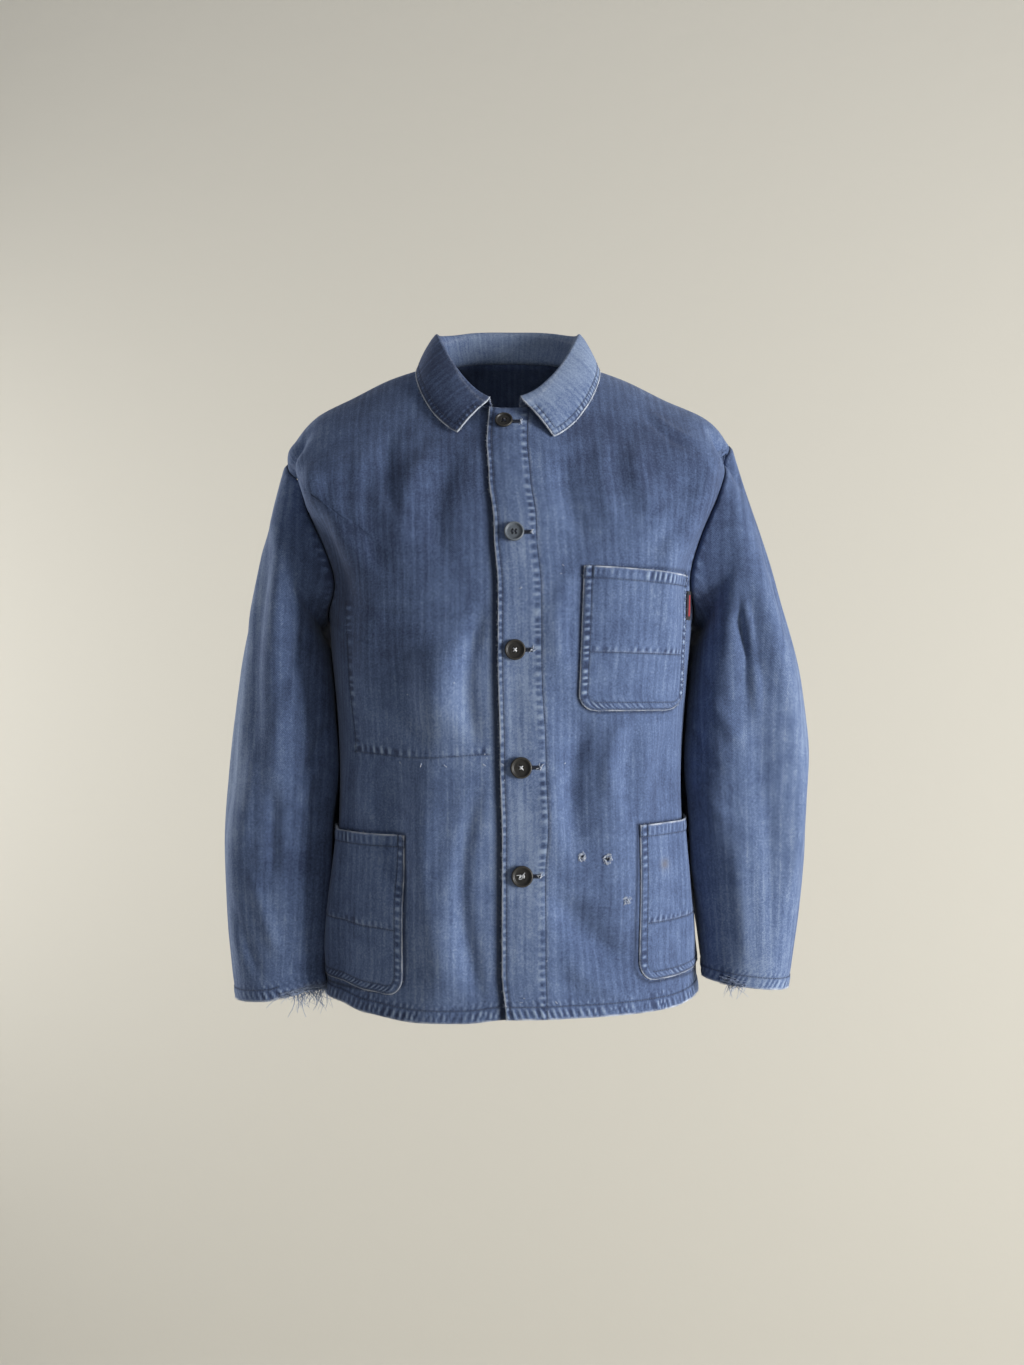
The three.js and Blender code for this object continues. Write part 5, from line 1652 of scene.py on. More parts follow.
@dataclass
class Sleeve:
    """A sleeve: one tube from the armhole to its turned cuff hem."""

    name: str
    side: Side
    finish: WashedTwill
    seed: int
    around: int = 150
    step: float = 2.7
    felled_turn: float = 236.0
    outer: Array = field(init=False, repr=False, default=None)

    @staticmethod
    def beside(y: Array, z: Array) -> Array:
        """How far the body reaches sideways at a depth and a height, by the superellipse."""
        row = row_at_height(lambda rows: BODY.at("side_z", rows), z, ARMHOLE_LOW_ROW - 1)
        middle_y = np.where(y < 0, BODY.at("front_y", row), BODY.at("back_y", row))
        square = BODY.at("square", row)
        left = np.maximum(0, 1 - np.abs(y / middle_y) ** square)
        return BODY.at("side_x", row) * left ** (1 / square)

    def controls(self, angle: Array) -> Array:
        """Rings of points: the armhole's edge, then each section kept clear of the body.

        Args:
            angle: Degrees round the sleeve, from the outer side over the front.

        Returns:
            Sections by angles by three.
        """
        down = np.where(angle > 180, 360 - angle, angle)
        reach = np.where(angle > 180, -ARMHOLE_REACH["back"], ARMHOLE_REACH["front"])
        turn = self.side * (90 - reach * np.abs(np.sin(np.radians(angle))))
        middle, half = armhole_span(self.side > 0)
        row = middle - half * np.cos(np.radians(down))
        rings = [BODY_FORM.point(turn, row, CLOTH + 1.0)[0]]
        a = np.radians(angle)
        n = SLEEVE_SQUARE
        radius = (np.abs(np.sin(a)) ** n + np.abs(np.cos(a)) ** n) ** (-1 / n)
        out = (1 + np.cos(a) * radius) / 2
        table = SLEEVES[self.side]
        for k in range(SECTIONS):
            s = {label: table.at(label, k) for label in SLEEVE_NAMES}
            x, z = mix(s["inner_x"], s["outer_x"], out), mix(s["inner_z"], s["outer_z"], out)
            y = s["middle_y"] - s["depth"] * np.sin(a) * radius
            pocket = smooth(BESIDE_POCKET_Z + 20, BESIDE_POCKET_Z, z)
            room = mix(BESIDE_ROOM, BESIDE_POCKET_ROOM, pocket)
            x = self.side * np.maximum(x, self.beside(y, z) + room)
            rings.append(np.stack([x, y, z], -1))
        return np.stack(rings)

    def cut(self, points: Array) -> Array:
        """Each point's place on the flat cloth, with the warp along the arm.

        The arm's middle line runs straight from the fourth ring of points to the last. A point's
        place along is its length along that line, and its place across is its angle round the
        line times the sleeve's mean radius.

        Args:
            points: The sleeve's rings.

        Returns:
            Millimetres across and along, with a last axis of two.
        """
        start, end = points[len(points) // 4].mean(0), points[-1].mean(0)
        axis = unit(end - start)
        front = unit(np.cross(axis, np.array([0.0, 1.0, 0.0])))
        side = np.cross(axis, front)
        away = points - start
        around = np.arctan2(away @ side, self.side * (away @ front))
        radius = np.linalg.norm(np.diff(points[-1], axis=0), axis=-1).sum() / (2 * math.pi)
        return np.stack([1.15 * radius * around, away @ axis], -1)

    def build(self) -> Sewn:
        """Rings along Catmull-Rom curves through the sections, moved out by folds and cloth."""
        angle = 360 * np.arange(self.around) / self.around
        rings = self.controls(angle)
        last = len(rings) - 1
        dense = np.linspace(0, last, 800)
        gone = lengths(between_rows(rings, dense), 0).mean(1)
        weight = 1 + 0.9 * smooth(gone[-1] - 26, gone[-1] - 16, gone) + 0.9 * smooth(14, 6, gone)
        station = spaced(dense, gone, weight, self.step, STRIDE)
        bare = between_rows(rings, station)
        normal = grid_normals(bare, True, self.side)
        turn = np.broadcast_to(angle[None], bare.shape[:2])
        row = np.broadcast_to(station[:, None], bare.shape[:2])
        every = SLEEVE_FOLDS[self.side] + SLEEVE_CREASES[self.side]
        folds = folds_at(every, turn, row, SLEEVE_PER_DEGREE, False)
        # Behind the body's side the sleeve hangs in against it.
        folds = folds + 6.5 * bell(turn - 207, 15) * smooth(0.2, 1.1, row) * smooth(9, 7, row)
        if self.side is Side.RIGHT:
            # The right cuff touches the skirt.
            folds = folds + 6.8 * bell(turn - 174, 32) * smooth(6.4, 8.2, row)
        points = bare + normal * folds[..., None]
        if self.side is Side.RIGHT:
            ragged = CUFF_WEAR.by("turn", "rise", turn) * smooth(last - 0.5, last, row)
            points = points + np.stack([0 * ragged, 0 * ragged, ragged], -1)
        down = lengths(points, 0)
        up = down[-1] - down
        girth = np.linalg.norm(np.diff(points, axis=1, append=points[:, :1]), axis=-1).sum(1)
        u = angle[None] / 360 * girth[:, None]
        seams = Seams(turn.shape)
        self.sew(seams, u, up, down, turn)
        hem = hem_rise(up, CUFF_HEM_HEIGHT)
        tucked = -2.1 * bell(down, 2.4)
        calm = smooth(0, 25, up) * smooth(0, 25, down)
        wave = slack(np.minimum(u, u.max() - u), up, SLEEVE_SLACK, self.seed) * calm
        moved = CLOTH + seams.lift + hem + tucked + 0.8 * wave
        outer = points + grid_normals(points, True, self.side) * moved[..., None]
        looks = seams.looks(points)
        sign = float(self.side)
        shell = Shell(self.name, outer, CLOTH + hem, self.cut(bare), looks, sign, True)
        piece = settle(shell.build(), self.finish, self.name)
        self.outer = outer
        edges = [edge_of(outer[-1], outer[-2])]
        return Sewn(piece, seams.stitches(outer, sign), edges)

    def sew(self, seams: Seams, u: Array, up: Array, down: Array, turn: Array) -> None:
        """Cuff hem, armhole seam and the felled seam at the back of the arm."""
        worn = bell(turn - 135, 42) if self.side is Side.RIGHT else np.zeros(turn.shape)
        seams.ruck(up, u, CUFF_PUCKERS, self.seed + 1)
        seams.ruck(up, u, OVER_CUFF_PUCKERS, self.seed + 1)
        seams.stitch(up - CUFF_HEM_HEIGHT, u, 1 - (worn > 0.4))
        seams.rub(up, 1.7, 0.9, run=u)
        seams.rub(up, 6.0, 0.8, worn)
        seams.ruck(down, u, SLEEVE_TOP_PUCKERS, self.seed + 2)
        # Painted shade along the armhole seam at the sleeve's top.
        seams.shade(down, 1.8, 0.8)
        felled = (turn - self.felled_turn) * u.max() / 360
        seams.stitch(felled, up)
        seams.stitch(felled - 6.5, up)
        seams.ruck(felled, up, FELLED_PUCKERS, self.seed + 3)
        # Painted shade on the inner side of the sleeve, which faces the body.
        seams.shade(turn - 180, 34.0, 0.35)


def through_points(controls: Array, shares: Array) -> Array:
    """A smooth curve through a list of points, one for each station.

    Cubic pieces between neighbours, whose directions at each point are the mean of both
    neighbouring slopes, weighted by the length of the other one.

    Args:
        controls: Points along the curve, by stations, by three.
        shares: Places along the curve, from 0 to 1 of its mean length.

    Returns:
        Places by stations by three.
    """
    span = np.linalg.norm(np.diff(controls, axis=0), axis=-1).mean(1)
    knots = np.concatenate([[0.0], np.cumsum(span)])
    slope = np.diff(controls, axis=0) / span[:, None, None]
    h = span[:, None, None]
    inner = (slope[:-1] * h[1:] + slope[1:] * h[:-1]) / (h[1:] + h[:-1])
    lean = np.concatenate([slope[:1], inner, slope[-1:]])
    place = shares * knots[-1]
    i = np.clip(np.searchsorted(knots, place, side="right") - 1, 0, len(span) - 1)
    s = ((place - knots[i]) / span[i])[:, None, None]
    h = span[i][:, None, None]
    a, b = controls[i], controls[i + 1]
    return (
        (2 * s**3 - 3 * s**2 + 1) * a + (s**3 - 2 * s**2 + s) * h * lean[i]
        + (3 * s**2 - 2 * s**3) * b + (s**3 - s**2) * h * lean[i + 1]
    )


@dataclass
class CollarPiece:
    """The collar: a stand, a rolled fold and a turned-down leaf with worn edges."""

    finish: WashedTwill
    name: str = "collar"
    cloth: float = 1.6
    roll: float = 2.6
    seam_gap: float = 0.45
    foot: float = 2.2
    bend: float = 0.55
    puff: float = 3.0
    clear: float = 1.45
    end_seam_turn: float = 2.2
    end_leaf_turn: float = 3.5
    end_leaf_row: float = 0.12
    lines: tuple[float, float] = (1.6, 6.8)
    # The share of the way down its profile where it folds over.
    fold_at: float = 0.36
    # The leaf on the wearer's right is made darker: it has kept more of its dye, and it carries
    # painted shade where it turns from the light.
    right_leaf_dye_and_shade: float = -0.54

    def profile(self, station: Array, side: Side) -> Array:
        """The control points of the collar's middle surface.

        Args:
            station: Fractional stations of the collar table.
            side: The wearer's left or right.

        Returns:
            Nine points by stations by three.
        """
        value = {label: COLLAR.at(label, station) for label in COLLAR.names}
        from_end = np.maximum(0, 1 - station)
        seam = side * (value["seam_turn"] - side * self.end_seam_turn * from_end)
        zero = np.zeros(station.shape)
        # The lap of the left front ends at the shoulder: both sides meet level at the back.
        on_left = side is Side.LEFT
        front = smooth(4.6, 2.6, station) if on_left else zero
        over = BODY_FORM.lap(seam, zero) * front
        start, _, down = BODY_FORM.point(seam, zero, CLOTH / 2 + over)
        angle = np.radians(seam)
        out = np.stack([np.sin(angle), -np.cos(angle), zero], -1)
        base = start - down * self.seam_gap
        fold = start + out * value["out"][:, None]
        fold[:, 2] += value["stand"]
        leaf_turn = side * (value["leaf_turn"] - on_left * self.end_leaf_turn * from_end)
        leaf_row = value["leaf_row"] + on_left * self.end_leaf_row * from_end
        over = CLOTH + self.cloth / 2 + self.clear + BODY_FORM.lap(leaf_turn, leaf_row) * front
        edge, normal, _ = BODY_FORM.point(leaf_turn, leaf_row, over)
        inside, outside = fold - out * self.roll, fold + out * self.roll
        apex = fold + np.array([0, 0, self.roll])
        foot = base - down * self.foot

        def leaf(share: float) -> Array:
            """A point down the leaf, puffed out in its middle."""
            return mix(outside, edge, share) + normal * self.puff * math.sin(math.pi * share)

        return np.stack([base, foot, mix(foot, inside, self.bend), inside, apex, outside,
                         leaf(1 / 3), leaf(2 / 3), edge])

    def build(self) -> Sewn:
        """The smooth surface through the profiles, with edge lines, puckers and cloth."""
        half = np.linspace(0, len(COLLAR.rows) - 1, STRIDE * 46 + 1)
        right, left = self.profile(half, Side.RIGHT), self.profile(half, Side.LEFT)
        controls = np.concatenate([right, left[:, ::-1][:, 1:]], axis=1)
        points = through_points(controls, np.linspace(0, 1, STRIDE * 20 + 1))
        normal = grid_normals(points, False, 1.0)
        if np.sum(normal[-1, :, 2] < 0) > np.sum(normal[-1, :, 2] > 0):
            normal = -normal
        sign = facing_sign(points, normal)
        down = lengths(points, 0)
        u = lengths(points, 1)[-1][None] * np.ones(points.shape[:2])
        low = down[-1] - down
        ends = lengths(points, 1)
        end = np.minimum(ends, ends[:, -1:] - ends)
        leaf = smooth(0.42, 0.5, down / down[-1])
        border = np.where(leaf > 0, np.minimum(low, end), end)
        run = np.where(low < end, u, down)
        seams = Seams(points.shape[:2])
        first, second = self.lines
        seams.ruck(border - (first + second) / 2, run, COLLAR_PUCKERS, 71, leaf)
        seams.ruck(border, run, OVER_COLLAR_PUCKERS, 72, leaf)
        seams.stitch(border - first, run, leaf)
        seams.stitch(border - second, run, leaf)
        seams.rub(border, 1.2, 1.4, np.maximum(leaf, 0.6), run)
        seams.rub(down / down[-1] - self.fold_at, 0.03, 0.35)
        wave = 0.5 * drift(u / 30, low / 24, 77) * smooth(0, 12, border)
        scallop = 0.5 * ripple(down, 6.5, 78) * bell(end, 4.0) * leaf
        outer = points + normal * (self.cloth / 2 + seams.lift + wave + scallop)[..., None]
        x, y = points[..., 0], points[..., 1]
        # Darker dye and painted shade on the leaf on the wearer's right.
        darker_dye_and_shade = self.right_leaf_dye_and_shade * smooth(20, -30, x) * smooth(50, -20, y)
        looks = seams.looks(points, darker_dye_and_shade=darker_dye_and_shade)
        shell = Shell(self.name, outer, self.cloth, np.stack([u, down], -1), looks, sign)
        piece = settle(shell.build(), self.finish, self.name)
        edges = [edge_of(outer[-1], outer[-2]), edge_of(outer[:, 0], outer[:, 1]),
                 edge_of(outer[:, -1], outer[:, -2])]
        return Sewn(piece, seams.stitches(outer, sign), edges)


@dataclass
class PatchPocket:
    """A patch pocket with round bottom corners, a turned mouth and two lines of stitches."""

    name: str
    finish: WashedTwill
    height: float
    corner: float
    bulge: float
    seam_drop: float
    seed: int
    cloth: float = 1.5
    clear: float = 0.35
    mouth_hem: float = 12.0
    hem_extra: float = 0.7
    mouth_rise: float = 0.12
    lines: tuple[float, float] = (1.9, 8.8)
    step: float = 1.2
    # Place across, height and strength of an old stain, and its radius.
    stain: tuple[float, float, float] = (0.0, 0.0, 0.0)
    stain_radius: float = 4.2
    # About how wide the pockets are, for the number of columns.
    common_width: float = 130.0

    def place(self, q: Array, p: Array) -> tuple[Array, Array]:
        """The turn and row of a point at shares of the height and width."""
        raise NotImplementedError

    def over(self, turn: Array, row: Array) -> Array:
        """How far the panel under the pocket is lifted."""
        return BODY_FORM.lap(turn, row)

    def inset(self, height: Array) -> Array:
        """How far a round bottom corner draws the side in: a quarter circle."""
        short = np.clip(self.corner - height, 0, self.corner)
        return self.corner - np.sqrt(self.corner**2 - short**2)

    def build(self) -> Sewn:
        """The pocket's grid over its panel, bulged, with its lines, puckers and worn edges."""
        down, across = (STRIDE * round(size / self.step / STRIDE) + 1
                        for size in (self.height, self.common_width))
        q, p = np.meshgrid(np.linspace(0, 1, down), np.linspace(0, 1, across), indexing="ij")
        turn, row = self.place(q, p)
        points, normal, _ = BODY_FORM.point(turn, row, CLOTH + self.over(turn, row))
        points = points + normal * rumple(turn, row)[..., None]
        u = lengths(points, 1)
        down = self.height * q
        border, seams = self.sew(u, down, p)
        puff = self.bulge * np.sin(np.pi * p) * np.sin(np.pi * np.minimum(1, q + self.mouth_rise))
        hem = self.hem_extra * smooth(self.mouth_hem + 0.8, self.mouth_hem - 0.6, down)
        low_edge = -0.75 * bell(np.minimum(border, 6), 1.1)
        wave = 0.7 * drift(u / 30, down / 42, self.seed + 4) * smooth(4, 26, border)
        lift = self.clear + self.cloth + puff + hem + low_edge + wave + 0.3 + seams.lift
        outer = points + normal * lift[..., None]
        sign = facing_sign(points, normal)
        spot = np.hypot(points[..., 0] - self.stain[0], 0.8 * (points[..., 2] - self.stain[1]))
        stain = self.stain[2] * bell(spot, self.stain_radius)
        looks = seams.looks(points, stain=stain)
        flat = np.stack([u, self.height - down], -1)
        shell = Shell(self.name, outer, self.cloth + hem, flat, looks, sign)
        piece = settle(shell.build(), self.finish, self.name)
        edges = [edge_of(outer[0], outer[1]), edge_of(outer[-1], outer[-2]),
                 edge_of(outer[:, 0], outer[:, 1]), edge_of(outer[:, -1], outer[:, -2])]
        return Sewn(piece, seams.stitches(outer, sign), edges)

    def sew(self, u: Array, down: Array, p: Array) -> tuple[Array, Seams]:
        """Both lines round the edge, the mouth's hem with its boxed corners, and the inner seam.

        Args:
            u: Millimetres across.
            down: Millimetres down from the mouth.
            p: Shares of the width.

        Returns:
            Millimetres in from the sewn edge, and the seams.
        """
        low = self.height - down
        inset = self.inset(low)
        from_left, from_right = u + inset, u[:, -1:] - u + inset
        full = np.minimum(from_left, from_right)
        r = self.corner
        round_part = (full < r) & (low < r)
        border = np.where(round_part, r - np.hypot(r - full, r - low), np.minimum(full, low))
        run = np.where(low < full, u, down)
        seams = Seams(u.shape)
        first, second = self.lines
        middle = (first + second) / 2
        sides = smooth(2, 8, low - full)
        seams.ruck(border - middle, down, POCKET_SIDE_PUCKERS, self.seed, sides)
        seams.ruck(border - middle, u, POCKET_BOTTOM_PUCKERS, self.seed + 1, 1 - sides)
        more = mix(0.45, 1.0, smooth(0.3, 0.6, p))
        seams.ruck(down, u, POCKET_MOUTH_PUCKERS, self.seed + 2, more)
        seams.stitch(border - first, run)
        seams.stitch(border - second, run)
        seams.stitch(down - self.mouth_hem, u)
        # A box of stitches holds each top corner.
        boxed = smooth(self.mouth_hem + 0.2, self.mouth_hem - 0.4, down)
        for away in (from_left, from_right):
            seams.stitch(away - second, down, boxed)
            # Painted shade along the box stitches.
            seams.shade(away - second, 0.8, 0.5, boxed)
        seam = down - self.seam_drop
        within = smooth(9, 12, border)
        seams.ruck(seam, u, POCKET_SEAM_PUCKERS, self.seed + 3, within)
        seams.stitch(seam, u, smooth(8.5, 9, border))
        seams.rub(border, 1.2, 0.95, run=run)
        seams.rub(down, 1.4, 1.0, run=u)
        seams.rub(seam + 1.4, 0.9, 0.3, within)
        return border, seams


@dataclass
class ChestPocket(PatchPocket):
    """The pocket on the wearer's left chest, placed by its corners seen from the front."""

    left_x: float = 72.5
    right_x: float = 182.0
    low_left_x: float = 66.5
    low_right_x: float = 175.0
    top_z: float = -211.0
    drop: float = 4.0

    def place(self, q: Array, p: Array) -> tuple[Array, Array]:
        """Across between both leaning sides, drawn in at the round corners."""
        inset = self.inset(self.height * (1 - q))
        left, right = mix(self.left_x, self.low_left_x, q), mix(self.right_x, self.low_right_x, q)
        x = mix(left + inset, right - inset, p)
        return BODY_FORM.seen_at(x, self.top_z - self.height * q - self.drop * p * (1 - q))


@dataclass
class LowerPocket(PatchPocket):
    """A pocket on the skirt, which starts at its front edge and wraps round to the side."""

    side: Side = Side.LEFT
    edge_x: float = 129.0
    width: float = 146.0
    top_z: float = -472.0

    def over(self, turn: Array, row: Array) -> Array:
        """Only the left front is lifted by its lap."""
        return BODY_FORM.lap(turn, row) if self.side > 0 else np.zeros(turn.shape)

    def place(self, q: Array, p: Array) -> tuple[Array, Array]:
        """Round the body over a length of cloth from the front edge."""
        z = self.top_z - self.height * q[:, 0]
        start, row = BODY_FORM.seen_at(np.full(len(q), self.edge_x), z)
        inset = self.inset(self.height * (1 - q))
        turn = BODY_FORM.turn_after(start, row, mix(inset, self.width - inset, p))
        return self.side * turn, np.broadcast_to(row[:, None], turn.shape)


@dataclass
class InnerPocket:
    """The pocket sewn inside the right front."""

    finish: WashedTwill
    name: str = "inner_pocket"
    left_x: float = -165.0
    right_x: float = -26.0
    top_z: float = -243.0
    bottom_z: float = -404.0
    clear: float = 1.65
    cloth: float = 1.5
    mouth_hem: float = 12.0

    def build(self) -> Sewn:
        """A plain sheet just inside the panel, its open mouth at the top."""
        q, p = np.meshgrid(np.linspace(0, 1, 46), np.linspace(0, 1, 43), indexing="ij")
        x, z = mix(self.left_x, self.right_x, p), mix(self.top_z, self.bottom_z, q)
        turn, row = BODY_FORM.seen_at(x, z)
        points, normal, _ = BODY_FORM.point(turn, row, rumple(turn, row) - self.clear)
        u, down = lengths(points, 1), lengths(points, 0)
        sign = facing_sign(points, normal)
        seams = Seams(q.shape)
        seams.stitch(down - self.mouth_hem, u)
        looks = seams.looks(points)
        shell = Shell(self.name, points, self.cloth, np.stack([u, down], -1), looks, sign)
        piece = settle(shell.build(), self.finish, self.name)
        return Sewn(piece, seams.stitches(points, sign), [])


# Buttons, threads and tab.


@dataclass
class Button:
    """A dished four-hole button with a raised rim."""

    index: int
    finish: ButtonPlastic
    slot: Slot
    thickness: float = 3.4
    clear: float = 0.6
    hole: float = 0.95
    hole_at: float = 1.8
    well_depth: float = 1.5
    spokes: int = 72
    # Its section from the middle of the back over the rim to the middle of the face, as shares of
    # radius and height. From the tenth point on it is sampled finely, for the holes.
    fine_from: int = 9
    section: tuple[tuple[float, float], ...] = (
        (0.0, 0.02), (0.78, 0.0), (0.92, 0.14), (1.0, 0.45), (0.985, 0.8), (0.93, 0.97),
        (0.88, 1.0), (0.81, 0.94), (0.73, 0.58), (0.66, 0.5), (0.5, 0.48), (0.0, 0.52),
    )

    @property
    def radius(self) -> float:
        """The button's own radius."""
        return BUTTON_RADII[self.index]

    def frame(self) -> tuple[Array, Array, Array, Array]:
        """The button's middle, its axes across and up, and its outward normal."""
        x, z = BUTTON_PLACES[self.index]
        turn, row = BODY_FORM.seen_at(np.array([x]), np.array([z]))
        lift = CLOTH + BODY_FORM.lap(turn, row) + self.clear + rumple(turn, row)
        point, normal, down = BODY_FORM.point(turn, row, lift)
        up = unit(-down[0])
        return point[0], unit(np.cross(up, normal[0])), up, normal[0]

    def build(self) -> bpy.types.Object:
        """The section carried round the axis, with four wells pressed into its face."""
        out, up = np.array(self.section).T
        points_along = np.arange(len(out))
        span = lengths(np.stack([out * self.radius, up * self.thickness], -1), 0)
        bend = span[self.fine_from]
        edge = np.interp(np.linspace(0, bend, 27), span, points_along)
        face = np.interp(np.linspace(bend, span[-1], 25), span, points_along)[1:-1]
        place = np.concatenate([edge[1:], face])
        r = np.interp(place, points_along, out) * self.radius
        h = np.interp(place, points_along, up) * self.thickness
        angle = 2 * math.pi * np.arange(self.spokes) / self.spokes
        x, y = np.outer(r, np.cos(angle)), np.outer(r, np.sin(angle))
        holes = [(a * self.hole_at, b * self.hole_at) for a in (-1, 1) for b in (-1, 1)]
        near = np.min([np.hypot(x - a, y - b) for a, b in holes], axis=0)
        place = place[:, None]
        top = place > self.fine_from - 1
        z = h[:, None] - self.well_depth * top * smooth(self.hole + 0.12, self.hole - 0.12, near)
        # The rim is painted paler: rubbing, and a painted highlight.
        rim = bell(np.abs(r[:, None] - 0.9 * self.radius), 0.6) * (place > 4)
        # The wells are painted near black as the shade inside a hole.
        deep = top * smooth(self.hole + 0.3, self.hole - 0.2, near)
        ring = np.stack([x, y, z], -1).reshape(-1, 3)
        centre = np.array([[0, 0, up[0] * self.thickness], [0, 0, up[-1] * self.thickness]])
        middle, *axes = self.frame()
        points = middle + np.concatenate([ring, centre]) @ np.stack(axes)
        o = np.arange(x.size).reshape(x.shape)
        o = np.concatenate([o, o[:, :1]], axis=1)
        walls = np.stack([o[:-1, :-1], o[:-1, 1:], o[1:, 1:], o[1:, :-1]], -1).reshape(-1, 4)
        back = np.stack([o[0, 1:], o[0, :-1], np.full(self.spokes, x.size)], -1)
        front = np.stack([o[-1, :-1], o[-1, 1:], np.full(self.spokes, x.size + 1)], -1)
        faces = walls.tolist() + back.tolist() + front.tolist()
        looks = {label: np.append(np.broadcast_to(values, x.shape), [0, 0])
                 for label, values in (("wear", 0.35 * rim), ("painted_hole_shade", deep))}
        name = f"button_{self.index + 1}"
        return settle(make_object(name, points, faces, looks), self.finish, name)


@dataclass
class Tab:
    """The small woven tab sewn into the outer edge of the chest pocket."""

    finish: WovenRibbon
    name: str = "label_tab"
    x: float = 183.5
    top_z: float = -231.0
    height: float = 31.0
    width: float = 5.5
    slant: float = 3.0
    clear: float = 0.65
    thickness: float = 0.9

    def build(self) -> bpy.types.Object:
        """A folded ribbon that stands a little off the panel at its outer fold."""
        q, p = np.meshgrid(np.linspace(0, 1, 31), np.linspace(0, 1, 13), indexing="ij")
        x, z = self.x + self.width * p - self.slant * q, self.top_z - self.height * q
        turn, row = BODY_FORM.seen_at(x, z)
        lift = CLOTH + self.clear + self.thickness + BODY_FORM.lap(turn, row) + rumple(turn, row)
        lift = lift + 0.35 * np.sin(np.pi * p) - 0.3 * bell(1 - p, 0.15)
        points, normal, _ = BODY_FORM.point(turn, row, lift)
        uv = np.stack([self.width * p, self.height * q], -1)
        sign = facing_sign(points, normal)
        piece = Shell(self.name, points, self.thickness, uv, {}, sign, stride=2).build()
        return settle(piece, self.finish, self.name)


# Threads and worn places.


def on_front(x: Array, z: Array, lift: float = 0.0) -> tuple[Array, Array]:
    """Points on the cloth of the front, placed as they are seen.

    Args:
        x: Millimetres across.
        z: Millimetres up.
        lift: Millimetres off the cloth.

    Returns:
        The points and their outward normals.
    """
    x, z = np.broadcast_arrays(np.asarray(x, float), np.asarray(z, float))
    turn, row = BODY_FORM.seen_at(x, z)
    over = BODY_FORM.lap(turn, row) * (x > LEFT_EDGE.by("z", "x", z) - 1)
    points, normal, _ = BODY_FORM.point(turn, row, CLOTH + over + rumple(turn, row) + lift)
    return points, normal


def curled(start: Array, way: Array, length: Array, curl: float, sag: float, count: int,
           seed: int) -> Array:
    """Loose yarns that wander as they go.

    Each sets out its own way. A running sum of small random turns bends it, and its own weight
    turns it down, the more the further along it is.

    Args:
        start: First points, yarns by three.
        way: Directions at the start.
        length: Length of each yarn.
        curl: Size of the random turns.
        sag: How strongly the free end hangs down.
        count: Points on each.
        seed: Which random turns to take.

    Returns:
        Yarns by points by three.
    """
    turns = np.random.default_rng(seed).normal(0, curl, (len(start), count, 3))
    down = sag * np.linspace(0, 1, count)[:, None] * np.array([0.0, 0.0, -1.0])
    heading = unit(unit(way)[:, None] + np.cumsum(turns, axis=1) + down)
    steps = heading * (np.asarray(length) / (count - 1))[:, None, None]
    steps[:, 0] = 0
    return start[:, None] + np.cumsum(steps, axis=1)


@dataclass
class BrokenFibres:
    """Short broken fibres along every worn edge, a few to the centimetre longer than the rest."""

    finish: CottonThread
    name: str = "edge_fibres"
    per_mm: float = 1.25
    shortest: float = 0.5
    longest: float = 3.0
    radius: float = 0.1
    seed: int = 11

    def build(self, edges: list[Edge]) -> bpy.types.Object:
        """Fibres at random places along the edges, which stand out with a random lean."""

        def read(place: Array, gone: Array, values: Array) -> Array:
            """Rows of three at places along an edge."""
            return np.stack([np.interp(place, gone, values[:, k]) for k in range(3)], -1)

        rng = np.random.default_rng(self.seed)
        starts, ways = [], []
        for edge in edges:
            gone = lengths(edge.points, 0)
            place = rng.uniform(0, gone[-1], int(gone[-1] * self.per_mm))
            out = read(place, gone, edge.out)
            starts.append(read(place, gone, edge.points) - 0.5 * out)
            ways.append(out + rng.normal(0, 0.55, out.shape))
        start, way = np.concatenate(starts), np.concatenate(ways)
        share = rng.uniform(0, 1, len(start)) ** 4
        length = mix(self.shortest, self.longest, share)
        paths = curled(start, way, length + 0.5, 0.3, 0.2, 4, self.seed + 1)
        return settle(tubes(self.name, paths, self.radius, 3, 0.5), self.finish)


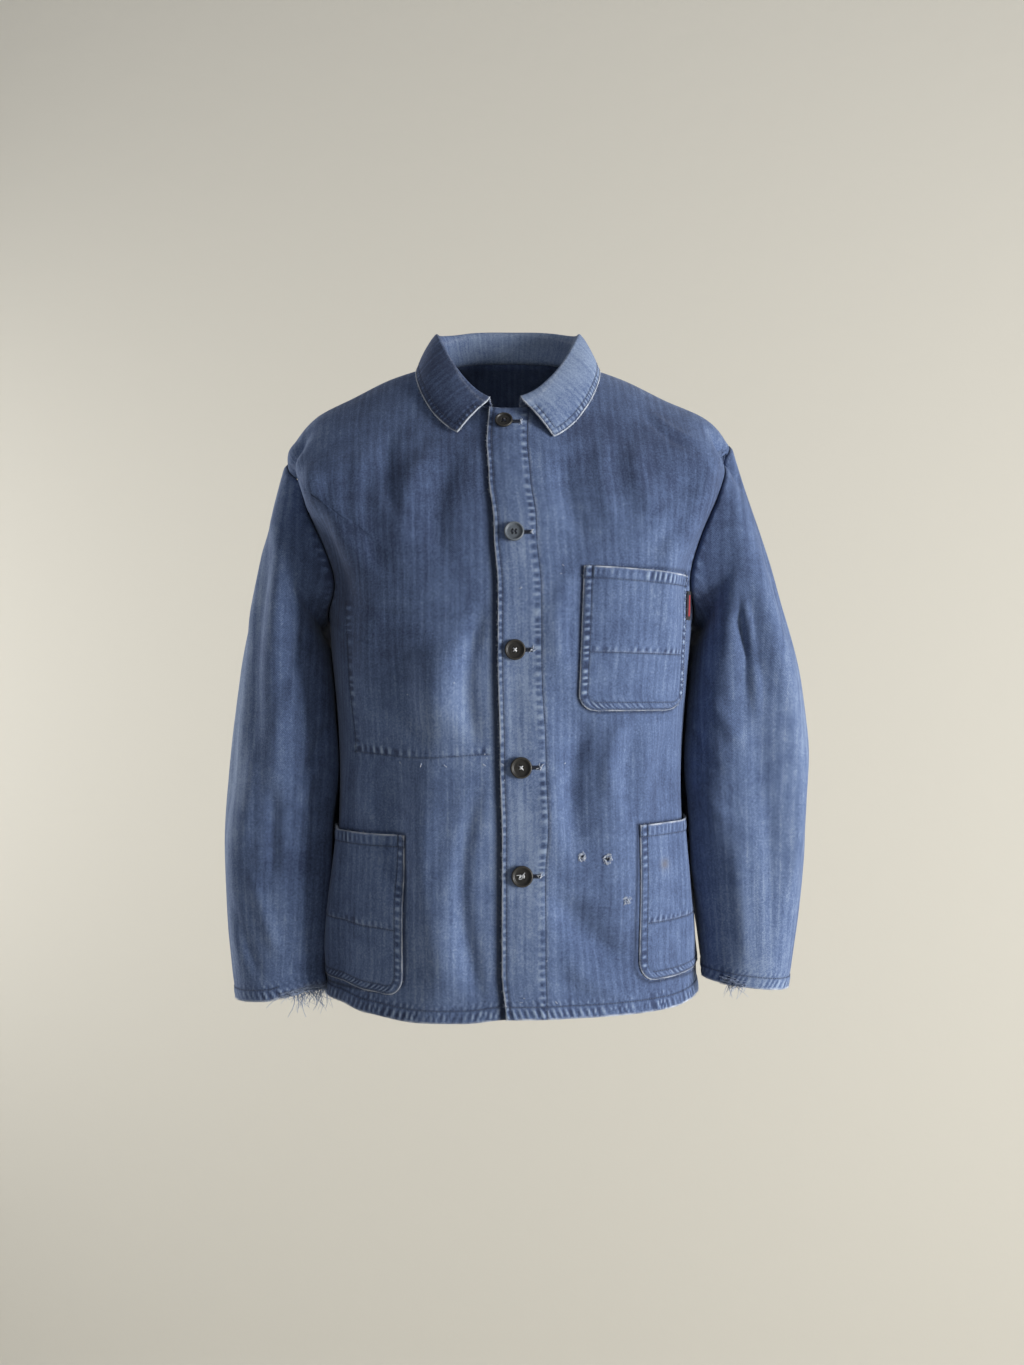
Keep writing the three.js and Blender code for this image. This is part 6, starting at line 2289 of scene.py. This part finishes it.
@dataclass
class CuffYarns:
    """A cuff worn through at its hem: yarns hang from it, and others lie loose along it."""

    name: str
    finish: CottonThread
    turns: tuple[float, float]
    hanging: int
    lying: int
    longest: float
    shortest: float = 2.5
    count: int = 10
    # The lying yarns wander mostly up and down.
    wander: tuple[float, float, float] = (0.3, 0.3, 1.0)
    radius: float = 0.34
    seed: int = 21
    stands_for: str = ""

    def build(self, sleeve: Sleeve) -> bpy.types.Object:
        """Both kinds of yarn, placed by their turn round the sleeve's outer face."""
        rng = np.random.default_rng(self.seed)
        outer = sleeve.outer
        rows, around = outer.shape[:2]

        def at(row: Array, turn: Array) -> Array:
            """Points at fractional rows and turns, mixed between the four nearest."""
            column = turn / 360 * around
            i, j = np.clip(np.floor(row).astype(int), 0, rows - 2), np.floor(column).astype(int)
            a, b = (row - i)[..., None], (column - j)[..., None]
            near = [outer[i + k, (j + m) % around] for k in (0, 1) for m in (0, 1)]
            return mix(mix(near[0], near[1], b), mix(near[2], near[3], b), a)

        low, high = self.turns
        middle, half = (low + high) / 2, (high - low) / 2
        flat, last = np.array([1, 1, 0]), rows - 1.0
        turn = np.clip(rng.normal(middle, 0.5 * half, self.hanging), low, high)
        start = at(np.full(self.hanging, last) - rng.uniform(0, 2.5, self.hanging), turn)
        inwards = unit(outer.mean((0, 1)) - start) * flat
        way = np.array([0, 0, -1.0]) + rng.normal(0, 0.45, start.shape) - 0.15 * inwards
        length = mix(self.shortest, self.longest, rng.uniform(0, 1, self.hanging) ** 2.4)
        hanging = curled(start, way, length, 0.3, 0.7, self.count, self.seed + 1)

        share = np.linspace(0, 1, self.count)[None]
        one = (self.lying, 1)
        first = rng.uniform(low - 3, high - 4, one)
        span = rng.uniform(5, 26, one)
        level = last - rng.uniform(0, 5.5, one) + rng.normal(0, 0.9, one) * share
        turn = np.clip(first + span * share, low - 6, high + 6)
        lying = at(np.clip(level, 0, last - 0.01), turn)
        outwards = unit((lying - outer.mean((0, 1))) * flat)
        slack_out = rng.uniform(0.1, 2.2, one) * np.sin(np.pi * share)
        wander = 0.35 * np.cumsum(rng.normal(0, 1, (*one[:1], self.count, 3)), axis=1) / 3
        lying = lying + outwards * (0.25 + slack_out)[..., None] + wander * self.wander
        paths = np.concatenate([hanging, lying])
        made = tubes(self.name, paths, rng.uniform(0.6, 1.25, len(paths)) * self.radius, 4, 0.45)
        return settle(made, self.finish, self.stands_for)


@dataclass
class ButtonThreads:
    """The thread that holds a button: strands over its face, and sometimes loose ends."""

    index: int
    finish: CottonThread
    crossed: bool
    tail: float = 0.0
    strands: int = 3
    beside: float = 0.36
    radius: float = 0.3
    # From which hole to which the strands run: crossed, or in two upright bars.
    across_holes: tuple = (((-1, -1), (1, 1)), ((-1, 1), (1, -1)))
    along_holes: tuple = (((-1, -1), (-1, 1)), ((1, -1), (1, 1)))

    def build(self, button: Button) -> bpy.types.Object:
        """Each strand is half an arch between two holes, side by side with the next."""
        middle, across, upward, normal = button.frame()
        axes = np.stack([across, upward, normal])
        at, face = button.hole_at, 0.5 * button.thickness
        pairs = self.across_holes if self.crossed else self.along_holes
        share = np.linspace(0, 1, 7)
        paths = []
        for k, (start, end) in enumerate(pairs):
            for strand in range(self.strands):
                aside = (strand - (self.strands - 1) / 2) * self.beside
                along = np.outer(1 - share, start) * at + np.outer(share, end) * at
                lean = np.array([end[1] - start[1], start[0] - end[0]]) / 2
                flat = along + aside * lean / max(1e-6, float(np.hypot(*lean)))
                up = face - 1.1 + (1.5 + 0.25 * k) * np.sin(np.pi * share) ** 0.5
                paths.append(middle + np.column_stack([flat, up]) @ axes)
        made = np.stack(paths)
        if self.tail:
            ends = middle + (face + 0.5) * normal + np.zeros((3, 3))
            sideways = ((0.6, -0.5), (-1.0, 0.3), (0.8, 0.4))
            ways = np.stack([a * upward + b * across + 0.12 * normal for a, b in sideways])
            tails = self.tail * np.array([1.0, 1.5, 0.7])
            loose = curled(ends, ways, tails, 0.4, 0.1, 7, 60 + self.index)
            # Loose ends lie on the button and don't sink into it.
            height = (loose - middle) @ normal
            loose = loose + (np.clip(height, face + 0.3, face + 1.2) - height)[..., None] * normal
            made = np.concatenate([made, loose])
        piece = tubes(f"button_thread_{self.index + 1}", made, self.radius, 5, 0.1)
        return settle(piece, self.finish)


@dataclass
class Buttonhole:
    """What shows of a buttonhole: a near-black yarn of painted shade in the slit, overcast edges
    and a frayed end.
    """

    index: int
    overcast: CottonThread
    frayed: CottonThread
    shows: float = 7.5
    pitch: float = 0.62
    broken: int = 16
    # An overcast stitch from the slit outwards: distance from the slit and height over the cloth.
    stitch: tuple[tuple[float, float], ...] = ((0.35, 0.1), (0.9, 0.42), (1.6, 0.36), (2.1, 0.0))

    def build(self) -> list[bpy.types.Object]:
        """The slit's painted shade and its overcasting as one piece of yarns, and the frayed end
        as another.
        """
        x, z = BUTTON_PLACES[self.index]
        rim = x + BUTTON_RADII[self.index]
        first, last = rim - 3.0, rim + self.shows
        share = np.linspace(0, 1, 8)
        # A thick near-black yarn along the slit is painted shade.
        slit = on_front(mix(first, last, share), np.full(8, float(z)), 0.12)[0]
        place = np.arange(first, last, self.pitch)
        paths = []
        for side in (-1, 1):
            paths.append(np.stack([on_front(place + 0.1 * away, z + side * away, lift)[0]
                                   for away, lift in self.stitch], 1))
        stitches = np.concatenate(paths)
        i, s = np.divmod(np.linspace(0, 3, 8), 1)
        i, s = np.minimum(i, 2).astype(int), (s + (i > 2))[None, :, None]
        dense = mix(stitches[:, i], stitches[:, i + 1], s)
        radius = np.concatenate([[0.55], np.full(len(dense), 0.2)])
        name, paths = f"buttonhole_{self.index + 1}", np.concatenate([slit[None], dense])
        piece = tubes(name, paths, radius, 4, 0.05)
        rng = np.random.default_rng(90 + self.index)
        n = self.broken
        at = on_front(last + rng.normal(0, 1.1, n), z + rng.normal(0, 1.2, n), 0.25)[0]
        way = rng.normal(0, 1, (n, 3)) + np.array([0.2, -0.5, 0.0])
        loose = curled(at, way, rng.uniform(1.2, 4.2, n), 0.5, 0.2, 6, 95 + self.index)
        fray = tubes(f"buttonhole_fray_{self.index + 1}", loose, 0.28, 4, 0.4)
        dressed = ((piece, self.overcast), (fray, self.frayed))
        return [settle(thing, finish) for thing, finish in dressed]


@dataclass
class WornPlaces:
    """Holes worn in the left front, each a near-black disc of painted shade for the gap, ringed
    with broken yarns, and caught lint.
    """

    dark: CottonThread
    pale: CottonThread
    # Place across and up, radius of the gap, radius of the frayed ring, number of yarns.
    holes: tuple[tuple[float, float, float, float, int], ...] = (
        (70.6, -501.9, 1.7, 3.9, 46), (95.4, -503.9, 2.0, 4.2, 50), (114.6, -546.5, 0.7, 4.0, 40),
    )
    # Place across and up and length of single caught fibres and pulled threads.
    flecks: tuple[tuple[float, float, float], ...] = (
        (51, -210, 2.5), (49, -219, 2.0), (11, -233, 3.2), (125, -236, 3.0), (128, -245, 2.6),
        (131, -258, 3.4), (108, -305, 2.6), (116, -312, 2.8), (53, -409, 2.0), (-104, -340, 1.5),
        (-56, -327, 1.5), (-130, -586, 1.8), (-88, -408, 4.2), (-66, -409, 5.0), (-26, -398, 5.0),
        (-28, -408, 4.0), (-112, -407, 3.6), (-24, -402, 3.4), (150, -560, 2.2), (36, -604, 2.0),
        (12, -642, 4.5), (9, -646, 3.5), (-6, -648, 4.0), (46, -648, 3.6), (-6, -424, 3.8),
        (-8, -410, 3.6),
    )
    corners: int = 14

    def build(self) -> list[bpy.types.Object]:
        """The gaps as uneven discs of painted shade, and the yarns round them with the caught
        fibres.
        """
        rng = np.random.default_rng(71)
        discs, faces, starts, ways, sizes = [], [], [], [], []
        n = self.corners
        angle = 2 * math.pi * np.arange(n) / n
        for k, (x, z, gap, ring, count) in enumerate(self.holes):
            reach = gap * (1 + 0.25 * np.sin(2 * angle + k) + 0.12 * np.sin(5 * angle))
            rim = on_front(x + reach * np.cos(angle), z + 1.25 * reach * np.sin(angle), 0.22)[0]
            centre = on_front(np.array([x]), np.array([z]), 0.3)[0]
            first = (n + 1) * k
            discs.append(np.concatenate([rim, centre]))
            faces += [[first + n, first + (i + 1) % n, first + i] for i in range(n)]
            turn = rng.uniform(0, 2 * math.pi, count)
            far = rng.uniform(0.8 * gap + 0.5, ring, count)
            starts.append(on_front(x + far * np.cos(turn), z + 1.2 * far * np.sin(turn), 0.25)[0])
            along = turn + math.pi / 2 + rng.normal(0, 0.7, count)
            ways.append(np.stack([np.cos(along), np.full(count, -0.35), np.sin(along)], -1))
            sizes.append(rng.uniform(1.2, 3.4, count))
        flecks = np.array(self.flecks)
        starts.append(on_front(flecks[:, 0], flecks[:, 1], 0.3)[0])
        ways.append(np.stack([rng.normal(0, 0.5, len(flecks)), np.full(len(flecks), -0.25),
                              rng.choice([-1.0, -0.6, 0.7], len(flecks))], -1))
        sizes.append(flecks[:, 2])
        flat = np.concatenate(discs)
        # The near-black discs in the holes are painted shade.
        gaps = make_object("worn_gap_shade", flat, faces, {"share": np.zeros(len(flat))})
        start, way, size = (np.concatenate(rows) for rows in (starts, ways, sizes))
        paths = curled(start, way, size, 0.3, 0.2, 6, 73)
        yarns = tubes("worn_yarns", paths, 0.32, 4, 0.4)
        return [settle(gaps, self.dark), settle(yarns, self.pale)]


# Studio and camera.


@dataclass
class Studio:
    """A pale wall that runs into a pale floor, and soft light from the viewer's right."""

    finish: PaintedPlaster
    wall_y: float = 2.1
    wall_top: float = 3.2
    floor_z: float = -2.6
    floor_end: float = -4.5
    half_width: float = 4.5
    bend: float = 0.5
    sky: str = "#eceff4"
    sky_strength: float = 0.24
    # Each lamp's name, place, the point it faces, its width and height, and its watts.
    lamps: tuple = (
        ("window", (3.9, -2.0, -0.35), (0.0, 0.0, -0.45), (1.2, 1.9), 250.0),
        ("bounce", (-2.4, 1.0, -0.3), (0.0, 0.0, -0.4), (1.8, 2.0), 48.0),
        ("ceiling", (0.0, -1.8, 2.2), (0.0, 0.0, -0.6), (1.6, 1.6), 5.0),
    )

    def build(self) -> None:
        """A straight wall, a quarter circle and a flat floor as one strip, then the lights."""
        angle = np.linspace(0, math.pi / 2, 24)
        arc = np.stack([self.wall_y - self.bend * (1 - np.cos(angle)),
                        self.floor_z + self.bend * (1 - np.sin(angle))], -1)
        ends = [[self.wall_y, self.wall_top]], [[self.floor_end, self.floor_z]]
        line = np.concatenate([ends[0], arc, ends[1]])
        x = np.array([-self.half_width, self.half_width])
        points = np.stack([np.broadcast_to(x, (len(line), 2)), np.repeat(line[:, :1], 2, 1),
                           np.repeat(line[:, 1:], 2, 1)], -1).reshape(-1, 3) / MM
        o = np.arange(len(line) * 2).reshape(-1, 2)
        faces = np.stack([o[:-1, 0], o[1:, 0], o[1:, 1], o[:-1, 1]], -1).tolist()
        wall = make_object("backdrop", points, faces, {})
        wall.data.materials.append(self.finish.material())
        wall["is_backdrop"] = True
        world = bpy.data.worlds.new("soft room light")
        world.use_nodes = True
        sky = world.node_tree.nodes["Background"].inputs
        sky["Color"].default_value = linear(self.sky)
        sky["Strength"].default_value = self.sky_strength
        bpy.context.scene.world = world
        for lamp in self.lamps:
            self.lamp(*lamp)

    @staticmethod
    def lamp(name: str, place: tuple, aim: tuple, size: tuple, power: float) -> None:
        """One soft rectangular light.

        Args:
            name: Its name.
            place: Where it stands, in metres.
            aim: The point it faces.
            size: Its width and height.
            power: Its power in watts.
        """
        light = bpy.data.lights.new(name, "AREA")
        light.shape, light.size, light.size_y, light.energy = "RECTANGLE", size[0], size[1], power
        lamp = bpy.data.objects.new(name, light)
        direction = np.array(aim) - np.array(place)
        lamp.location = place
        lamp.rotation_mode = "QUATERNION"
        lamp.rotation_quaternion = Vector(direction).to_track_quat("-Z", "Y")
        lamp.visible_camera = False
        bpy.context.scene.collection.objects.link(lamp)


@dataclass
class PhotoCamera:
    """The photograph's viewpoint: level, straight on, 1.5 m in front of the neck."""

    distance: float = 1.5
    height: float = -0.327
    focal_px: float = 1363.6
    long_side_px: float = 1365.0
    middle_px: tuple[float, float] = (511.0, 682.0)
    frame_middle_px: tuple[float, float] = (512.0, 682.5)
    sensor: float = 36.0

    def build(self) -> None:
        """A camera that looks along +Y, with the focal length of the pixel scale."""
        data = bpy.data.cameras.new("photo_camera")
        data.sensor_width = self.sensor
        data.sensor_fit = "AUTO"
        data.lens = self.sensor * self.focal_px / self.long_side_px
        (x, y), (frame_x, frame_y) = self.middle_px, self.frame_middle_px
        data.shift_x = (frame_x - x) / self.long_side_px
        data.shift_y = (y - frame_y) / self.long_side_px
        data.dof.use_dof = False
        camera = bpy.data.objects.new("photo_camera", data)
        camera.location = (0.0, -self.distance, self.height)
        camera.rotation_euler = (math.pi / 2, 0.0, 0.0)
        bpy.context.scene.collection.objects.link(camera)
        bpy.context.scene.camera = camera


# Making.


def corners() -> list[list[float]]:
    """The lowest and highest corner of what is shown, as plain lists."""
    return [[round(c, 5) for c in corner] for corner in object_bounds()]


def main() -> None:
    """Builds every piece in order."""
    logging.basicConfig(level=logging.INFO, format="%(message)s")
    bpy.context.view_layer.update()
    bpy.context.scene.view_settings.view_transform = "Standard"
    PhotoCamera().build()
    Studio(PaintedPlaster()).build()
    body_twill = WashedTwill("washed herringbone twill")
    pocket_twill = WashedTwill("washed herringbone twill, pocket", 0.06)
    collar_twill = WashedTwill("faded herringbone twill, collar", 0.34)
    black = ButtonPlastic("urea plastic, near black", "#100e0c", "#4a463f", 0.42)
    grey = ButtonPlastic("urea plastic, faded grey", "#4f565e", "#838b93", 0.45)
    seam_thread = CottonThread("cotton sewing thread, dark blue", "#35405c", "#3d4965")
    yarn = CottonThread("broken cotton yarn, half faded", "#7385a8", "#c3cbd8")
    pale_yarn = CottonThread("broken cotton yarn, undyed core", "#9aaac6", "#e2e7ee")
    blue_yarn = CottonThread("broken cotton yarn, blue", "#4d5d80", "#a3b1ca")
    dark_thread = CottonThread("cotton sewing thread, near black", "#161a26", "#232838")
    white_thread = CottonThread("cotton sewing thread, white", "#c9cdd3", "#e6e8ea")
    left_sleeve = Sleeve("left_sleeve", Side.LEFT, body_twill, 31)
    right_sleeve = Sleeve("right_sleeve", Side.RIGHT, body_twill, 37)
    parts = [
        BackPanel("back", Side.MIDDLE, body_twill, 41, 3.1),
        FrontPanel("left_front", Side.LEFT, body_twill, 3),
        FrontPanel("right_front", Side.RIGHT, body_twill, 17),
        left_sleeve,
        right_sleeve,
        CollarPiece(collar_twill),
        ChestPocket("chest_pocket", pocket_twill, 145.0, 19.0, 2.6, 86.0, 51),
        LowerPocket("lower_pocket_left", pocket_twill, 160.0, 20.0, 2.8, 101.0, 57,
                    stain=(155.0, -514.0, 0.8)),
        LowerPocket("lower_pocket_right", pocket_twill, 159.0, 20.0, 2.8, 94.0, 63,
                    side=Side.RIGHT, edge_x=108.0, width=158.0, top_z=-482.0),
        InnerPocket(pocket_twill),
    ]
    made: list[bpy.types.Object] = []
    edges: list[Edge] = []
    tab = Tab(WovenRibbon()).build()
    for part in parts:
        sewn = part.build()
        stitches = tubes(f"{part.name}_stitches", sewn.stitches, STITCH_RADIUS, 4, 0.0)
        settle(stitches, seam_thread)
        CUTS[part.name].declare(sewn.piece, [stitches] + [tab] * (part.name == "chest_pocket"))
        made += [sewn.piece, stitches]
        edges += sewn.edges
        LOG.info("%s with %d stitches", part.name, len(sewn.stitches))
    made.append(tab)
    for index, (faded, sewn_dark, crossed, tail) in enumerate(SEWN_BUTTONS):
        finish, slot = (grey, Slot.FADED_BUTTON) if faded else (black, Slot.BUTTON)
        button = Button(index, finish, slot)
        thread = dark_thread if sewn_dark else white_thread
        made += [button.build(), ButtonThreads(index, thread, crossed, tail).build(button)]
        made += Buttonhole(index, dark_thread, pale_yarn).build()
        LOG.info("button %d with its thread and buttonhole", index + 1)
    made += [
        CuffYarns("right_cuff_yarns", blue_yarn, (94, 178), 190, 120, 30.0,
                  stands_for="right_cuff_fray").build(right_sleeve),
        CuffYarns("left_cuff_yarns", blue_yarn, (98, 124), 44, 30, 18.0,
                  seed=27).build(left_sleeve),
        *WornPlaces(dark_thread, pale_yarn).build(),
        BrokenFibres(yarn).build(edges),
    ]
    counts = [sum(len(p.vertices) - 2 for p in piece.data.polygons) for piece in made]
    for piece, count in zip(made, counts):
        LOG.info("%s: %d triangles", piece.name, count)
    LOG.info("%d pieces, %d triangles", len(made), sum(counts))


if __name__ == "__main__":
    main()
